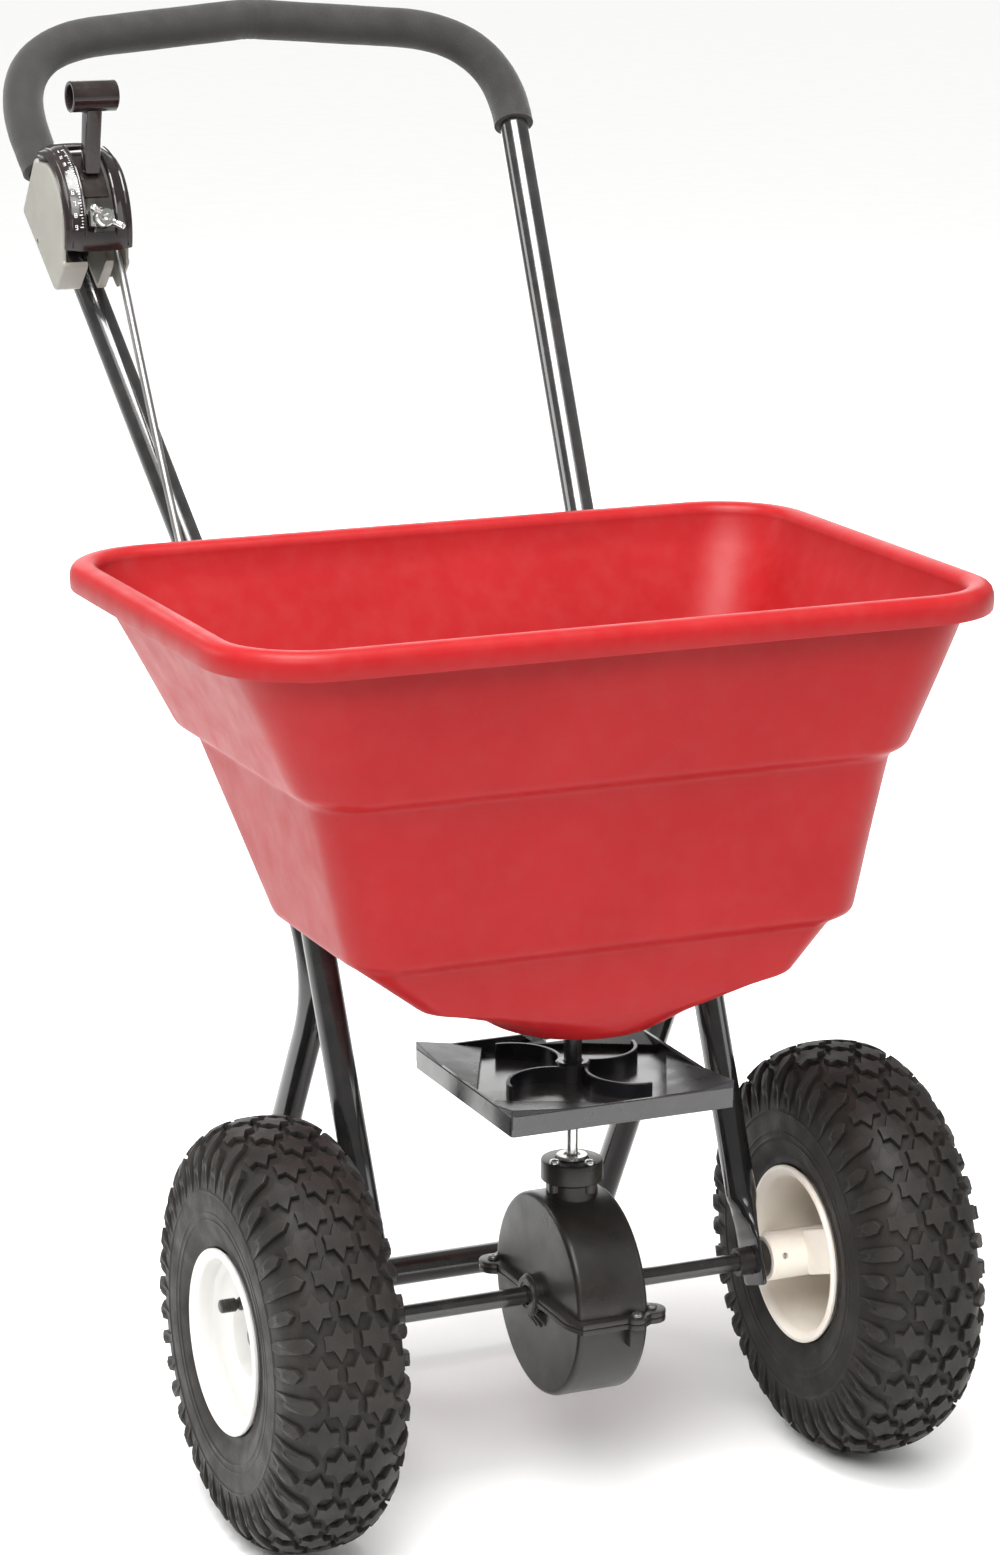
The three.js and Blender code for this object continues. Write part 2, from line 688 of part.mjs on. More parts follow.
function lever() {
  const { y, z } = leverPivot;
  const x = controlX;
  const hub = barX(x - 8, x + 12, y, z, 9, 24);
  const web = plateX([[y - 4, z + 4], [y + 5, z + 3], [424, 906], [412, 906]], x - 3, x + 3);
  const arm = plateX([[412, 904], [424, 904], [417.5, 948], [404.5, 948]], x - 7, x + 7);
  const ring = barX(x - 17.5, x + 17.5, knob.y, knob.z, 11.5, 24);
  const shroud = plateX(dialSlice(14, 62, 54, 57.4), x - 9.5, x + 9.5);
  const crank = plateX([[y, z - 7], [y, z + 7], [423, z + 4], [423, z - 4]], x + 8, x + 12);
  return join(hub, web, arm, ring, shroud, crank)
    .subtract(barX(x - 30, x + 30, knob.y, knob.z, 8.8, 24))
    .subtract(barX(x - 30, x + 30, y, z, 3.1, 24));
}

// the pin's left end is blind in the housing's wall, its head is on the right
function leverPin() {
  const { y, z } = leverPivot;
  const head = controlX + controlHalf + gap;
  return join(barX(controlX - controlHalf + 1 + gap, head, y, z, 3, 12), barX(head, head + 3, y, z, 6, 12));
}

const stopAxis = V(0, -Math.sin(rad(stopAngle)), Math.cos(rad(stopAngle)));
const stopAt = (r) => V(controlX, leverPivot.y, leverPivot.z).addScaledVector(stopAxis, r);

function rateStop() {
  const block = plateX(dialSlice(stopAngle - 5, stopAngle + 5, 59, 65, 3), controlX - 9, controlX + 9);
  return block.add(bar(stopAt(62), stopAt(79), 2.5, 12));
}

function wingNut() {
  const body = bar(stopAt(65.4), stopAt(73.5), 8, 20, 6.2);
  const across = V(1, 0, 0).applyAxisAngle(stopAxis, rad(-35));
  const wing = (side) => {
    const base = stopAt(69.5).addScaledVector(across, 4 * side);
    const tip = stopAt(77.5).addScaledVector(across, 12.5 * side);
    return bar(base, tip, 3, 12, 4);
  };
  return join(body, wing(1), wing(-1)).subtract(bar(stopAt(60), stopAt(82), 2.58, 16));
}

// ---------- axle and wheels ----------
const wheelX = { left: driveX - wheelTrackHalf, right: driveX + wheelTrackHalf };
const axleLeft = wheelX.left - 23;
const axleRight = wheelX.right + 17;
const pinX = wheelX.right - 56.5;

// bar through the axle where the drive pin goes, square to the axle and turned with the spokes
function pinBar(from, to, radius) {
  const bore = barZ(0, 0, from, to, radius, 12).rotate([90 + wheelTurn, 0, 0]);
  return bore.translate([pinX, 0, tyreRadius]);
}

function axle() {
  return barX(axleLeft, axleRight, 0, tyreRadius, axleRadius, 24)
    .subtract(pinBar(-30, 30, 2.4))
    .subtract(barZ(axleLeft + 4.5, 0, 100, 200, 1.8, 10));
}

// side is the wheel's outward direction along X
function wheelRim(centre, side) {
  const hubInner = bearingEnd + gap - wheelTrackHalf;
  const profile = [
    [0, hubInner], [hubRadius, hubInner], [hubRadius, 8], [26, 20], [56.5, 23], [56.5, -40],
    [62, -rimHalfWidth], [64.5, -rimHalfWidth], [64.5, -40.5], [60, -37], [60, 37], [64.5, 40.5],
    [64.5, rimHalfWidth], [62, rimHalfWidth], [56.5, 40], [56.5, 28], [26, 25.5], [19, 15],
    [hubRadius, 13], [0, 13],
  ];
  // two broad spokes as wide as the hub, from the inner side up to the web
  const inside = turned([[0, -39], [58, -39], [58, 25], [26, 22.5], [18, 12], [0, 12]], "x", 28);
  const spokes = box(-39, -58, -hubRadius, 25, 58, hubRadius).intersect(inside).rotate([wheelTurn, 0, 0]);
  const bore = barX(-100, 100, 0, 0, axleBore, 20);
  const valve = barX(-10, 50, valveSeat.y, valveSeat.z, 3.8, 12);
  const wheel = turned(profile, "x", 28).add(spokes).subtract(bore).subtract(valve);
  return (side < 0 ? wheel.mirror([1, 0, 0]) : wheel).translate([centre, 0, tyreRadius]);
}

function tyre(centre) {
  const outer = [[60.4, -29], [60.4, -36.5], [65.4, -40.5], [82, -44.8], [104, -45.5], [125, -42],
    [138, -36], [tyreRadius, -14]];
  const inner = [[72, -36], [104, -40], [126, -36.5], [141, -14]];
  const opposite = (list) => list.map(([r, x]) => [r, -x]);
  const profile = [...outer, ...opposite(outer).reverse(), ...opposite(inner), ...[...inner].reverse()];
  return turned(profile, "x", 32).translate([centre, 0, tyreRadius]);
}

// straight valve, standing out of the web beside the hub
function valveStem(centre, side) {
  const at = (x) => V(centre + x * side, valveSeat.y, tyreRadius + valveSeat.z);
  return join(bar(at(14), at(32), 3.5, 12), bar(at(30), at(41.5), 4.8, 16));
}

function hubPin() {
  return pinBar(-14, 14, 2.1);
}

function cotterPin() {
  const x = axleLeft + 4.5;
  return join(barZ(x, 0, tyreRadius - 12, tyreRadius + 11, 1.5, 10),
    barX(x - 2.3, x + 2.1, 0, tyreRadius + 12, 2.4, 12));
}

function axleWasher() {
  const x = wheelX.left - 13 - gap;
  return barX(x - 2.5, x, 0, tyreRadius, 13, 24).subtract(holeX(x, 0, tyreRadius, axleRadius + gap));
}

// ---------- assembly ----------
place("hopper", hopper(), "hopper_red");
place("handle_tube", handleTube(), "black_paint");
place("foam_grip", pipe(handleRoute(912, 892), gripRadius, tubeRadius + gap), "foam");
for (const [name, side] of sides) {
  const legCut = holeX(legX * side, legBolt.y, legBolt.z);
  const joint = handlePoint(jointBoltZ);
  place(`side_tube_${name}`, sideTube(side).subtract(legCut)
    .subtract(holeX(joint.x * side, joint.y, joint.z)), "black_paint");
  place(`strut_${name}`, strut(side), "black_paint");
  place(`side_bracket_${name}`, sideBracket(side), "black_paint");
  place(`strut_bolt_${name}`, bracketBolt(side, strutBolt, 145.8), "steel");
  place(`leg_bolt_${name}`, bracketBolt(side, legBolt, 144), "steel");
  place(`handle_bolt_${name}`, handleBolt(side), "steel");
  place(`foot_cap_${name}`, footCap(side), "black_plastic");
  place(`axle_bearing_${name}`, axleBearing(side), "black_plastic");
  place(`plate_guide_${name}`, plateGuide(side), "black_plastic");
}
place("cross_plate", crossPlate(), "black_paint");
place("stand_cross_bar", crossBar(), "black_paint");
place("gearbox_upper", gearboxHalf(true), "black_plastic");
place("gearbox_lower", gearboxHalf(false), "black_plastic");
flangeScrews.forEach(([x, y], i) => place(`gearbox_screw_${i + 1}`, gearboxScrew(x, y), "steel"));
place("collar_bush", collarBush(), "steel");
place("bowl_bush", bowlBush(), "nylon");
place("crown_gear", crownGear(), "nylon");
place("pinion", pinion(), "steel");
place("impeller_shaft", impellerShaft(), "steel");
place("impeller", impeller(), "black_plastic");
place("agitator", agitator(), "steel");
place("shutoff_plate", shutoffPlate(), "steel");
place("control_rod", controlRod(), "steel");
place("control_housing", controlHousing(), "grey_plastic");
place("control_cover", controlCover(), "black_gloss_plastic");
place("lever", lever(), "black_gloss_plastic");
place("lever_pin", leverPin(), "steel");
place("rate_stop", rateStop(), "steel");
place("wing_nut", wingNut(), "steel");
place("axle", axle(), "black_paint");
place("axle_washer", axleWasher(), "steel");
place("cotter_pin", cotterPin(), "steel");
place("free_wheel_rim", wheelRim(wheelX.left, -1), "white_plastic");
place("free_wheel_tyre", tyre(wheelX.left), "tyre_rubber");
place("free_wheel_valve", valveStem(wheelX.left, -1), "black_plastic");
const driveRim = wheelRim(wheelX.right, 1).subtract(pinBar(-30, 30, 2.4));
place("drive_wheel_rim", driveRim, "white_plastic");
place("drive_wheel_tyre", tyre(wheelX.right), "tyre_rubber");
place("drive_wheel_valve", valveStem(wheelX.right, 1), "black_plastic");
place("hub_pin", hubPin(), "steel");

export default spreader;
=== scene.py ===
import random
from math import ceil, copysign, cos, degrees, exp, pi, radians, sin, sqrt, tan, tau

import bmesh
import bpy
from mathutils import Matrix, Vector

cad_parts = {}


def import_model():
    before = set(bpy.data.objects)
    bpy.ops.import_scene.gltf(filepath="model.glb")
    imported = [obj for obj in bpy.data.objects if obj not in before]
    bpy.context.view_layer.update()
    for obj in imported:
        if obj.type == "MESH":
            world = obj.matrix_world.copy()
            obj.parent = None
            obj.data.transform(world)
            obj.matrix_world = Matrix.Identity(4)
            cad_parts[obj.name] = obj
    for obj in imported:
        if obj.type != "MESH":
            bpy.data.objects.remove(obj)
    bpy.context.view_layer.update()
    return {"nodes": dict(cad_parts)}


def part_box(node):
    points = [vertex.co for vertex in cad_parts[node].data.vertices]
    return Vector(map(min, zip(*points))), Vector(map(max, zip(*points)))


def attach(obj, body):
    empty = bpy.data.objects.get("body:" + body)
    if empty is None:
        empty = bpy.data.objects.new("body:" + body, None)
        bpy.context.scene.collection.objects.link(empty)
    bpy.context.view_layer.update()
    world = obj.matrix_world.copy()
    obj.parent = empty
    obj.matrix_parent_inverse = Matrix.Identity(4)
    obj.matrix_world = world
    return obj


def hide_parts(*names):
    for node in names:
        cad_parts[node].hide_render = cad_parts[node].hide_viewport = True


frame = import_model()
random.seed(7)

MM = 0.001
axle_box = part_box("axle")
ORIGIN_Y = (axle_box[0].y + axle_box[1].y) / 2      # the axle's own line, at y 0 in the machine frame


def V(x, y, z):
    return Vector((x, y, z))


def world(p):
    """A point of the machine frame, in mm, as a point of the row frame, in metres."""
    return Vector((p[0] * MM, p[1] * MM + ORIGIN_Y, p[2] * MM))


def middle(node):
    """Centre of a CAD node's box, in mm in the machine frame."""
    low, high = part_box(node)
    return V((low.x + high.x) / 2, (low.y + high.y) / 2 - ORIGIN_Y, (low.z + high.z) / 2) / MM


def place_in_scene(name, data):
    placed = bpy.data.objects.new(name, data)
    bpy.context.scene.collection.objects.link(placed)
    return placed


# ---------- camera ----------
YAW, PITCH, ROLL = radians(23.856), radians(14.103), radians(0.234)


def add_camera():
    data = bpy.data.cameras.new("camera")
    data.sensor_fit = "VERTICAL"
    data.sensor_height = 36
    data.lens = 99.75
    data.clip_end = 100
    camera = place_in_scene("camera", data)
    ahead = V(sin(YAW) * cos(PITCH), cos(YAW) * cos(PITCH), -sin(PITCH))
    right = V(cos(YAW), -sin(YAW), 0)
    up = right.cross(ahead)
    turned_right = right * cos(ROLL) + up * sin(ROLL)
    turned_up = up * cos(ROLL) - right * sin(ROLL)
    axes = Matrix((turned_right, turned_up, -ahead)).transposed().to_4x4()
    camera.matrix_world = Matrix.Translation(world((-1195.1, -2597.7, 1240.9))) @ axes
    bpy.context.scene.camera = camera


add_camera()


# ---------- materials ----------
def surface(name, colour, rough, metal=0.0, grain=900.0, grain_depth=0.1, mottle=0.12, rough_spread=0.08,
            dust=0.0, dust_colour=(0.45, 0.40, 0.34), wear=0.0, wear_colour=(0.5, 0.5, 0.5), coat=0.0,
            sheen=0.0, subsurface=0.0, streak=None, pits=0.0, specular=0.5):
    """Procedural finish: colour drift, fine grain in the bump, uneven gloss, dust on top and worn edges."""
    material = bpy.data.materials.new(name)
    material.use_nodes = True
    nodes, links = material.node_tree.nodes, material.node_tree.links

    def fill(node, values):
        """Sets a node's inputs; a value is a number, a tuple or another node's output."""
        for socket, value in values.items():
            if isinstance(value, bpy.types.NodeSocket):
                links.new(value, node.inputs[socket])
            else:
                node.inputs[socket].default_value = value

    def add(kind, values, **settings):
        node = nodes.new(f"ShaderNode{kind}")
        for setting, value in settings.items():
            setattr(node, setting, value)
        fill(node, values)
        return node.outputs

    def noise(scale, detail, vector):
        return add("TexNoise", {"Scale": scale, "Detail": detail, "Vector": vector})["Fac"]

    def spread(value, low, high, to_low, to_high):
        limits = {"From Min": low, "From Max": high, "To Min": to_low, "To Max": to_high}
        return add("MapRange", {"Value": value, **limits})["Result"]

    def mix(factor, a, b):
        a, b = ((*c, 1) if isinstance(c, tuple) else c for c in (a, b))
        return add("Mix", {"Factor": factor, 6: a, 7: b}, data_type="RGBA")[2]

    place = add("TexCoord", {})["Object"]
    place_fine = add("Mapping", {"Vector": place, "Scale": streak})["Vector"] if streak else place
    dark = tuple(c * (1 - mottle) for c in colour)
    light = tuple(min(c * (1 + mottle) + 0.002, 1) for c in colour)
    tint = mix(spread(noise(14, 4, place), 0.3, 0.7, 0, 1), dark, light)
    if wear:
        pointy = add("NewGeometry", {})["Pointiness"]
        tint = mix(spread(pointy, 0.52, 0.62, 0, wear), tint, wear_colour)
    if dust:
        normal = add("NewGeometry", {})["Normal"]
        upward = spread(add("SeparateXYZ", {"Vector": normal})["Z"], -0.6, 1.0, 0.25, 1)
        patchy = spread(noise(70, 5, place), 0.42, 0.72, 0, 1)
        amount = add("Math", {0: patchy, 1: upward}, operation="MULTIPLY")[0]
        tint = mix(spread(amount, 0, 1, 0, dust), tint, dust_colour)
    smooth, dull = max(rough - rough_spread, 0.02), min(rough + rough_spread, 1)
    relief = {"Strength": grain_depth, "Distance": 0.0006, "Height": noise(grain, 3, place_fine)}
    bump = add("Bump", relief)["Normal"]
    if pits:
        cells = add("TexVoronoi", {"Scale": grain * 0.6, "Vector": place})["Distance"]
        relief = {"Strength": pits, "Distance": 0.0008, "Height": cells, "Normal": bump}
        bump = add("Bump", relief)["Normal"]
    fill(nodes["Principled BSDF"], {
        "Base Color": tint,
        "Roughness": spread(noise(45, 5, place_fine), 0.3, 0.7, smooth, dull),
        "Normal": bump,
        "Metallic": metal,
        "Specular IOR Level": specular,
        "Coat Weight": coat,
        "Coat Roughness": 0.08,
        "Sheen Weight": sheen,
        "Subsurface Weight": subsurface,
        "Subsurface Radius": (0.004, 0.002, 0.0015),
    })
    return material


RED = surface("red_polyethylene", (0.270, 0.0062, 0.0078), 0.42, grain=420, mottle=0.04,
              rough_spread=0.05, dust=0.02, wear=0.25, wear_colour=(0.42, 0.03, 0.031), subsurface=0.05,
              specular=0.17)
PAINT = surface("black_gloss_paint", (0.010, 0.010, 0.0105), 0.16, grain=260, grain_depth=0.05, mottle=0.2,
                rough_spread=0.05, dust=0.03, coat=0.35, wear=0.15, wear_colour=(0.08, 0.07, 0.06))
FOAM = surface("black_foam", (0.0165, 0.0155, 0.0150), 0.86, grain=1500, grain_depth=0.5, mottle=0.2,
               rough_spread=0.06, dust=0.08, dust_colour=(0.12, 0.11, 0.10), sheen=0.15, pits=0.35,
               specular=0.3)
STEEL = surface("zinc_plated_steel", (0.60, 0.60, 0.58), 0.27, metal=1.0, grain=700, grain_depth=0.08,
                rough_spread=0.10, streak=(1, 1, 0.12), dust=0.05, dust_colour=(0.25, 0.23, 0.2))
DARK_STEEL = surface("dull_steel_rod", (0.23, 0.225, 0.22), 0.36, metal=0.9, grain=700, mottle=0.2,
                     rough_spread=0.1, streak=(1, 1, 0.15), dust=0.1, dust_colour=(0.2, 0.19, 0.17))
BLACK = surface("black_moulded_plastic", (0.0115, 0.0094, 0.0084), 0.34, grain=1100, grain_depth=0.14,
                mottle=0.22, specular=0.34, dust=0.035, dust_colour=(0.20, 0.18, 0.15),
                wear=0.2, wear_colour=(0.07, 0.065, 0.06))
SPINNER = surface("black_polished_moulding", (0.018, 0.017, 0.0175), 0.17, grain=800, grain_depth=0.06,
                  mottle=0.2, rough_spread=0.07, dust=0.05, dust_colour=(0.20, 0.18, 0.15), wear=0.15,
                  wear_colour=(0.06, 0.06, 0.06), specular=0.75)
FIN = surface("black_spinner_fins", (0.0065, 0.0065, 0.0085), 0.30, grain=800, grain_depth=0.06,
              mottle=0.2, rough_spread=0.07, dust=0.02, dust_colour=(0.16, 0.15, 0.13), wear=0.15,
              wear_colour=(0.04, 0.04, 0.04), specular=0.35)
GLOSS = surface("black_gloss_plastic", (0.0100, 0.0066, 0.0062), 0.13, grain=350, grain_depth=0.035,
                mottle=0.2, rough_spread=0.04, dust=0.03, wear=0.1, wear_colour=(0.06, 0.05, 0.05), coat=0.12,
                specular=0.38)
GREY = surface("grey_moulded_plastic", (0.205, 0.199, 0.172), 0.42, grain_depth=0.14, mottle=0.09,
               rough_spread=0.07, dust=0.08, dust_colour=(0.25, 0.22, 0.18), wear=0.2,
               wear_colour=(0.40, 0.39, 0.36), subsurface=0.03)
WHITE = surface("white_nylon_rim", (0.56, 0.555, 0.535), 0.38, grain=700, mottle=0.03, dust=0.10,
                dust_colour=(0.52, 0.46, 0.38), subsurface=0.08)
CREAM = surface("warm_nylon_rim", (0.76, 0.705, 0.625), 0.36, grain=700, mottle=0.04, dust=0.15,
                dust_colour=(0.50, 0.40, 0.29), subsurface=0.10)
NYLON = surface("natural_nylon", (0.72, 0.69, 0.60), 0.42, grain=700, mottle=0.05, rough_spread=0.07,
                subsurface=0.08)
RUBBER = surface("tyre_rubber", (0.0105, 0.0088, 0.0077), 0.60, grain=650, grain_depth=0.3, mottle=0.3,
                 rough_spread=0.12, dust=0.12, dust_colour=(0.075, 0.060, 0.046), wear=0.25,
                 wear_colour=(0.04, 0.036, 0.033), pits=0.10, specular=0.24)
PRINT = surface("white_scale_print", (0.78, 0.78, 0.76), 0.5, mottle=0.08)


# ---------- mesh tools ----------
X_AXIS, Y_AXIS, Z_AXIS = V(1, 0, 0), V(0, 1, 0), V(0, 0, 1)


def make(name, verts, faces, material, body, replaces=(), sharp=35.0):
    mesh = bpy.data.meshes.new(name)
    mesh.from_pydata([world(v) for v in verts], [], faces)
    mesh.validate()
    work = bmesh.new()
    work.from_mesh(mesh)
    bmesh.ops.remove_doubles(work, verts=work.verts, dist=1e-6)
    bmesh.ops.recalc_face_normals(work, faces=work.faces)
    work.to_mesh(mesh)
    work.free()
    mesh.shade_smooth()
    mesh.set_sharp_from_angle(angle=radians(sharp))
    mesh.materials.append(material)
    piece = place_in_scene(name, mesh)
    if body:
        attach(piece, body)
        if replaces:
            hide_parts(*replaces)
    return piece


def quads(rows, count, loop=False):
    """Faces between rows of count points each; with loop the last row joins the first."""
    faces = []
    for i in range(rows if loop else rows - 1):
        k = (i + 1) % rows
        for j in range(count):
            m = (j + 1) % count
            faces.append((i * count + j, i * count + m, k * count + m, k * count + j))
    return faces


class Shape:
    """Vertices and faces gathered from several closed shells, in mm in the machine frame."""

    def __init__(self):
        self.verts = []
        self.faces = []

    def add(self, verts, faces):
        start = len(self.verts)
        self.verts.extend(Vector(v) for v in verts)
        self.faces.extend([tuple(start + i for i in face) for face in faces])
        return self

    def rings(self, rings, loop=False):
        """A skin over closed rings of points, with its two ends capped unless it is a loop."""
        count = len(rings[0])
        faces = quads(len(rings), count, loop)
        if not loop:
            faces.append(tuple(range(count)))
            last = (len(rings) - 1) * count
            faces.append(tuple(last + j for j in reversed(range(count))))
        return self.add([p for ring in rings for p in ring], faces)

    def prism(self, outline, direction, start, end, round_by=0.0, steps=3):
        """Outline of points swept along direction, its two rims rounded by round_by."""
        outline = [Vector(p) for p in outline]
        direction = Vector(direction).normalized()
        centre = sum(outline, Vector()) / len(outline)
        if not round_by:
            return self.rings([[p + direction * d for p in outline] for d in (start, end)])
        rings = []
        for side, base in ((1, start), (-1, end)):
            part = []
            for k in range(steps + 1):
                angle = pi / 2 * k / steps
                inset = round_by * (1 - sin(angle))
                lift = base + side * round_by * (1 - cos(angle))
                part.append([p + direction * lift for p in shrunk(outline, direction, inset, centre)])
            rings.extend(part if side > 0 else part[::-1])
        return self.rings(rings)

    def turned(self, profile, axis, centre, segments=64, arc=None):
        """Profile of [radius, distance along axis] turned about axis; arc is (from, to) in degrees."""
        centre = Vector(centre)
        along, first, second = AXES[axis]
        spans = segments if arc is None else segments + 1
        from_angle, to_angle = (0, 360) if arc is None else arc
        rings = []
        for i in range(spans):
            angle = radians(from_angle + (to_angle - from_angle) * i / segments)
            out = first * cos(angle) + second * sin(angle)
            rings.append([centre + out * r + along * h for r, h in profile])
        return self.rings(rings, loop=arc is None)

    def piece(self, name, material, body, replaces=(), sharp=35.0):
        return make(name, self.verts, self.faces, material, body, replaces, sharp)


AXES = {
    "x": (X_AXIS, Y_AXIS, Z_AXIS),
    "y": (Y_AXIS, Z_AXIS, X_AXIS),
    "z": (Z_AXIS, X_AXIS, Y_AXIS),
}


def shrunk(outline, direction, inset, centre):
    """The outline moved inwards by inset, each corner along its own mitre."""
    if inset < 1e-6:
        return outline
    following = outline[1:] + outline[:1]
    area = sum((p - centre).cross(q - centre).dot(direction) for p, q in zip(outline, following))
    turn = 1 if area > 0 else -1
    moved = []
    for i, p in enumerate(outline):
        a = (p - outline[i - 1]).normalized()
        b = (following[i] - p).normalized()
        na, nb = direction.cross(a) * turn, direction.cross(b) * turn
        mitre = na + nb
        if mitre.length < 0.2:
            mitre = na
        mitre.normalize()
        moved.append(p + mitre * (inset / max(mitre.dot(na), 0.35)))
    return moved


def bend(start, corner, end, steps):
    """Points of a curve from start to end, drawn towards corner."""
    points = []
    for k in range(steps + 1):
        t = k / steps
        points.append(start * (1 - t) ** 2 + corner * 2 * t * (1 - t) + end * t * t)
    return points


def circle(centre, right, up, r, sides):
    turns = (tau * j / sides for j in range(sides))
    return [centre + right * r * cos(t) + up * r * sin(t) for t in turns]


def rounded(outline, radius, steps=5):
    """2-D outline with each corner rounded."""
    points = [Vector((a, b)) for a, b in outline]
    result = []
    for i, p in enumerate(points):
        back, ahead = points[i - 1] - p, points[(i + 1) % len(points)] - p
        reach = min(radius, back.length * 0.45, ahead.length * 0.45)
        start, end = p + back.normalized() * reach, p + ahead.normalized() * reach
        result += bend(start, p, end, steps)
    return [(q.x, q.y) for q in result]


def in_yz(outline, x=0.0):
    return [V(x, a, b) for a, b in outline]


def in_xy(outline, z=0.0):
    return [V(a, b, z) for a, b in outline]


def route(corners, radius, bend_steps=16, run_steps=1):
    """Points along straight runs with rounded corners of one radius."""
    corners = [Vector(c) for c in corners]
    points = [corners[0]]
    for i in range(1, len(corners) - 1):
        back = (corners[i - 1] - corners[i]).normalized()
        ahead = (corners[i + 1] - corners[i]).normalized()
        turn = pi - back.angle(ahead)
        reach = radius * tan(turn / 2)
        start, end = corners[i] + back * reach, corners[i] + ahead * reach
        begin = points[-1]
        for k in range(1, run_steps):
            points.append(begin.lerp(start, k / run_steps))
        points += bend(start, corners[i], end, bend_steps)
    begin = points[-1]
    for k in range(1, run_steps):
        points.append(begin.lerp(corners[-1], k / run_steps))
    points.append(corners[-1])
    return points


def rings_along(points, radii, sides, first_normal=None):
    """Rings square to a route. radii is one radius, or one (wide, thick) pair for each point."""
    tangent = (points[1] - points[0]).normalized()
    normal = first_normal or (Y_AXIS if abs(tangent.x) > 0.9 else X_AXIS)
    rings = []
    for i, p in enumerate(points):
        before, after = points[max(i - 1, 0)], points[min(i + 1, len(points) - 1)]
        if (after - before).length > 1e-9:
            tangent = (after - before).normalized()
        normal = (normal - tangent * normal.dot(tangent)).normalized()
        side = tangent.cross(normal)
        r = radii if isinstance(radii, (int, float)) else radii[i]
        wide, thick = r if isinstance(r, tuple) else (r, r)
        turns = [tau * j / sides for j in range(sides)]
        rings.append([p + normal * wide * cos(t) + side * thick * sin(t) for t in turns])
    return rings


def pipe(shape, points, outer, inner, sides=32):
    """A tube with eased ends and a real bore."""
    ease = 0.8
    ahead = (points[1] - points[0]).normalized()
    behind = (points[-2] - points[-1]).normalized()
    line = [points[0], points[0] + ahead * ease] + points[1:-1] + [points[-1] + behind * ease, points[-1]]
    radii = [outer - ease] + [outer] * (len(line) - 2) + [outer - ease]
    outside = rings_along(line, radii, sides)
    inside = rings_along(points, inner, sides)[::-1]
    return shape.rings(outside + inside, loop=True)


def bar(shape, a, b, radius, sides=32, end_radius=None, ease=0.4):
    a, b = Vector(a), Vector(b)
    end_radius = radius if end_radius is None else end_radius
    along = (b - a).normalized()
    line = [a, a + along * ease, b - along * ease, b]
    return shape.rings(rings_along(line, [radius - ease, radius, end_radius, end_radius - ease], sides))


def cut(piece, *cutters, operation="DIFFERENCE"):
    """Applies boolean cutters, which are then deleted."""
    for cutter in cutters:
        modifier = piece.modifiers.new("cut", "BOOLEAN")
        modifier.operation = operation
        modifier.solver = "EXACT"
        modifier.object = cutter
        bpy.context.view_layer.update()
        evaluated = piece.evaluated_get(bpy.context.evaluated_depsgraph_get())
        mesh = bpy.data.meshes.new_from_object(evaluated)
        piece.modifiers.clear()
        old = piece.data
        piece.data = mesh
        mesh.name = piece.name
        bpy.data.meshes.remove(old)
        bpy.data.objects.remove(cutter)
    piece.data.shade_smooth()
    piece.data.set_sharp_from_angle(angle=radians(32))
    return piece


def cutter_from(shape):
    return make("cutter", shape.verts, shape.faces, RED, None)


def bevel(piece, width, segments=2, angle=35):
    modifier = piece.modifiers.new("bevel", "BEVEL")
    modifier.width = width * MM
    modifier.segments = segments
    modifier.limit_method = "ANGLE"
    modifier.angle_limit = radians(angle)
    return piece


def finish_node(node, material, width=0.0):
    """A CAD node that keeps its own shape gets this material, and eased edges where width is given."""
    piece = frame["nodes"][node]
    piece.data.materials.clear()
    piece.data.materials.append(material)
    if width:
        bevel(piece, width)


SIDES = (("left", -1), ("right", 1))


def flip(points, side):
    return [V(p.x * side, p.y, p.z) for p in points]


def handed(profile, side):
    """A profile of (radius, distance along x), mirrored for side -1."""
    return [(r, x * side) for r, x in profile]


# ---------- hopper ----------
DRIVE_X = middle("gearbox_upper").x
AXLE_Z = 150
AXLE = V(DRIVE_X, 0, AXLE_Z)        # where the gearbox sits on the axle
WALL = 3.0


# A level of the hopper is (middle x, half width, front y, rear y, corner radius, z).
def grown(level, by, z):
    cx, half, front, rear, corner, _ = level
    return (cx, half + by, front - by, rear + by, max(corner + by, 1.0), z)


def circle_level(r, z):
    return (DRIVE_X, r, -r, r, r - 0.01, z)


def eased(levels, reach, steps=4):
    """The list of levels with each change of slope rounded over reach mm."""
    def gap(a, b):
        return sqrt((a[5] - b[5]) ** 2 + (a[1] - b[1]) ** 2 + (a[2] - b[2]) ** 2) or 1e-6

    def blend(a, b, t):
        return tuple(u + (v - u) * t for u, v in zip(a, b))

    result = [levels[0]]
    for i in range(1, len(levels) - 1):
        a, p, b = levels[i - 1], levels[i], levels[i + 1]
        start = blend(p, a, min(reach / gap(a, p), 0.48))
        end = blend(p, b, min(reach / gap(p, b), 0.48))
        for k in range(steps + 1):
            t = k / steps
            result.append(tuple(s * (1 - t) ** 2 + m * 2 * t * (1 - t) + e * t * t
                                for s, m, e in zip(start, p, end)))
    result.append(levels[-1])
    return result


def subdivided(levels, longest):
    result = [levels[0]]
    for a, b in zip(levels, levels[1:]):
        size = sqrt((a[5] - b[5]) ** 2 + (a[1] - b[1]) ** 2)
        count = max(1, ceil(size / longest))
        for k in range(1, count + 1):
            result.append(tuple(u + (v - u) * k / count for u, v in zip(a, b)))
    return result


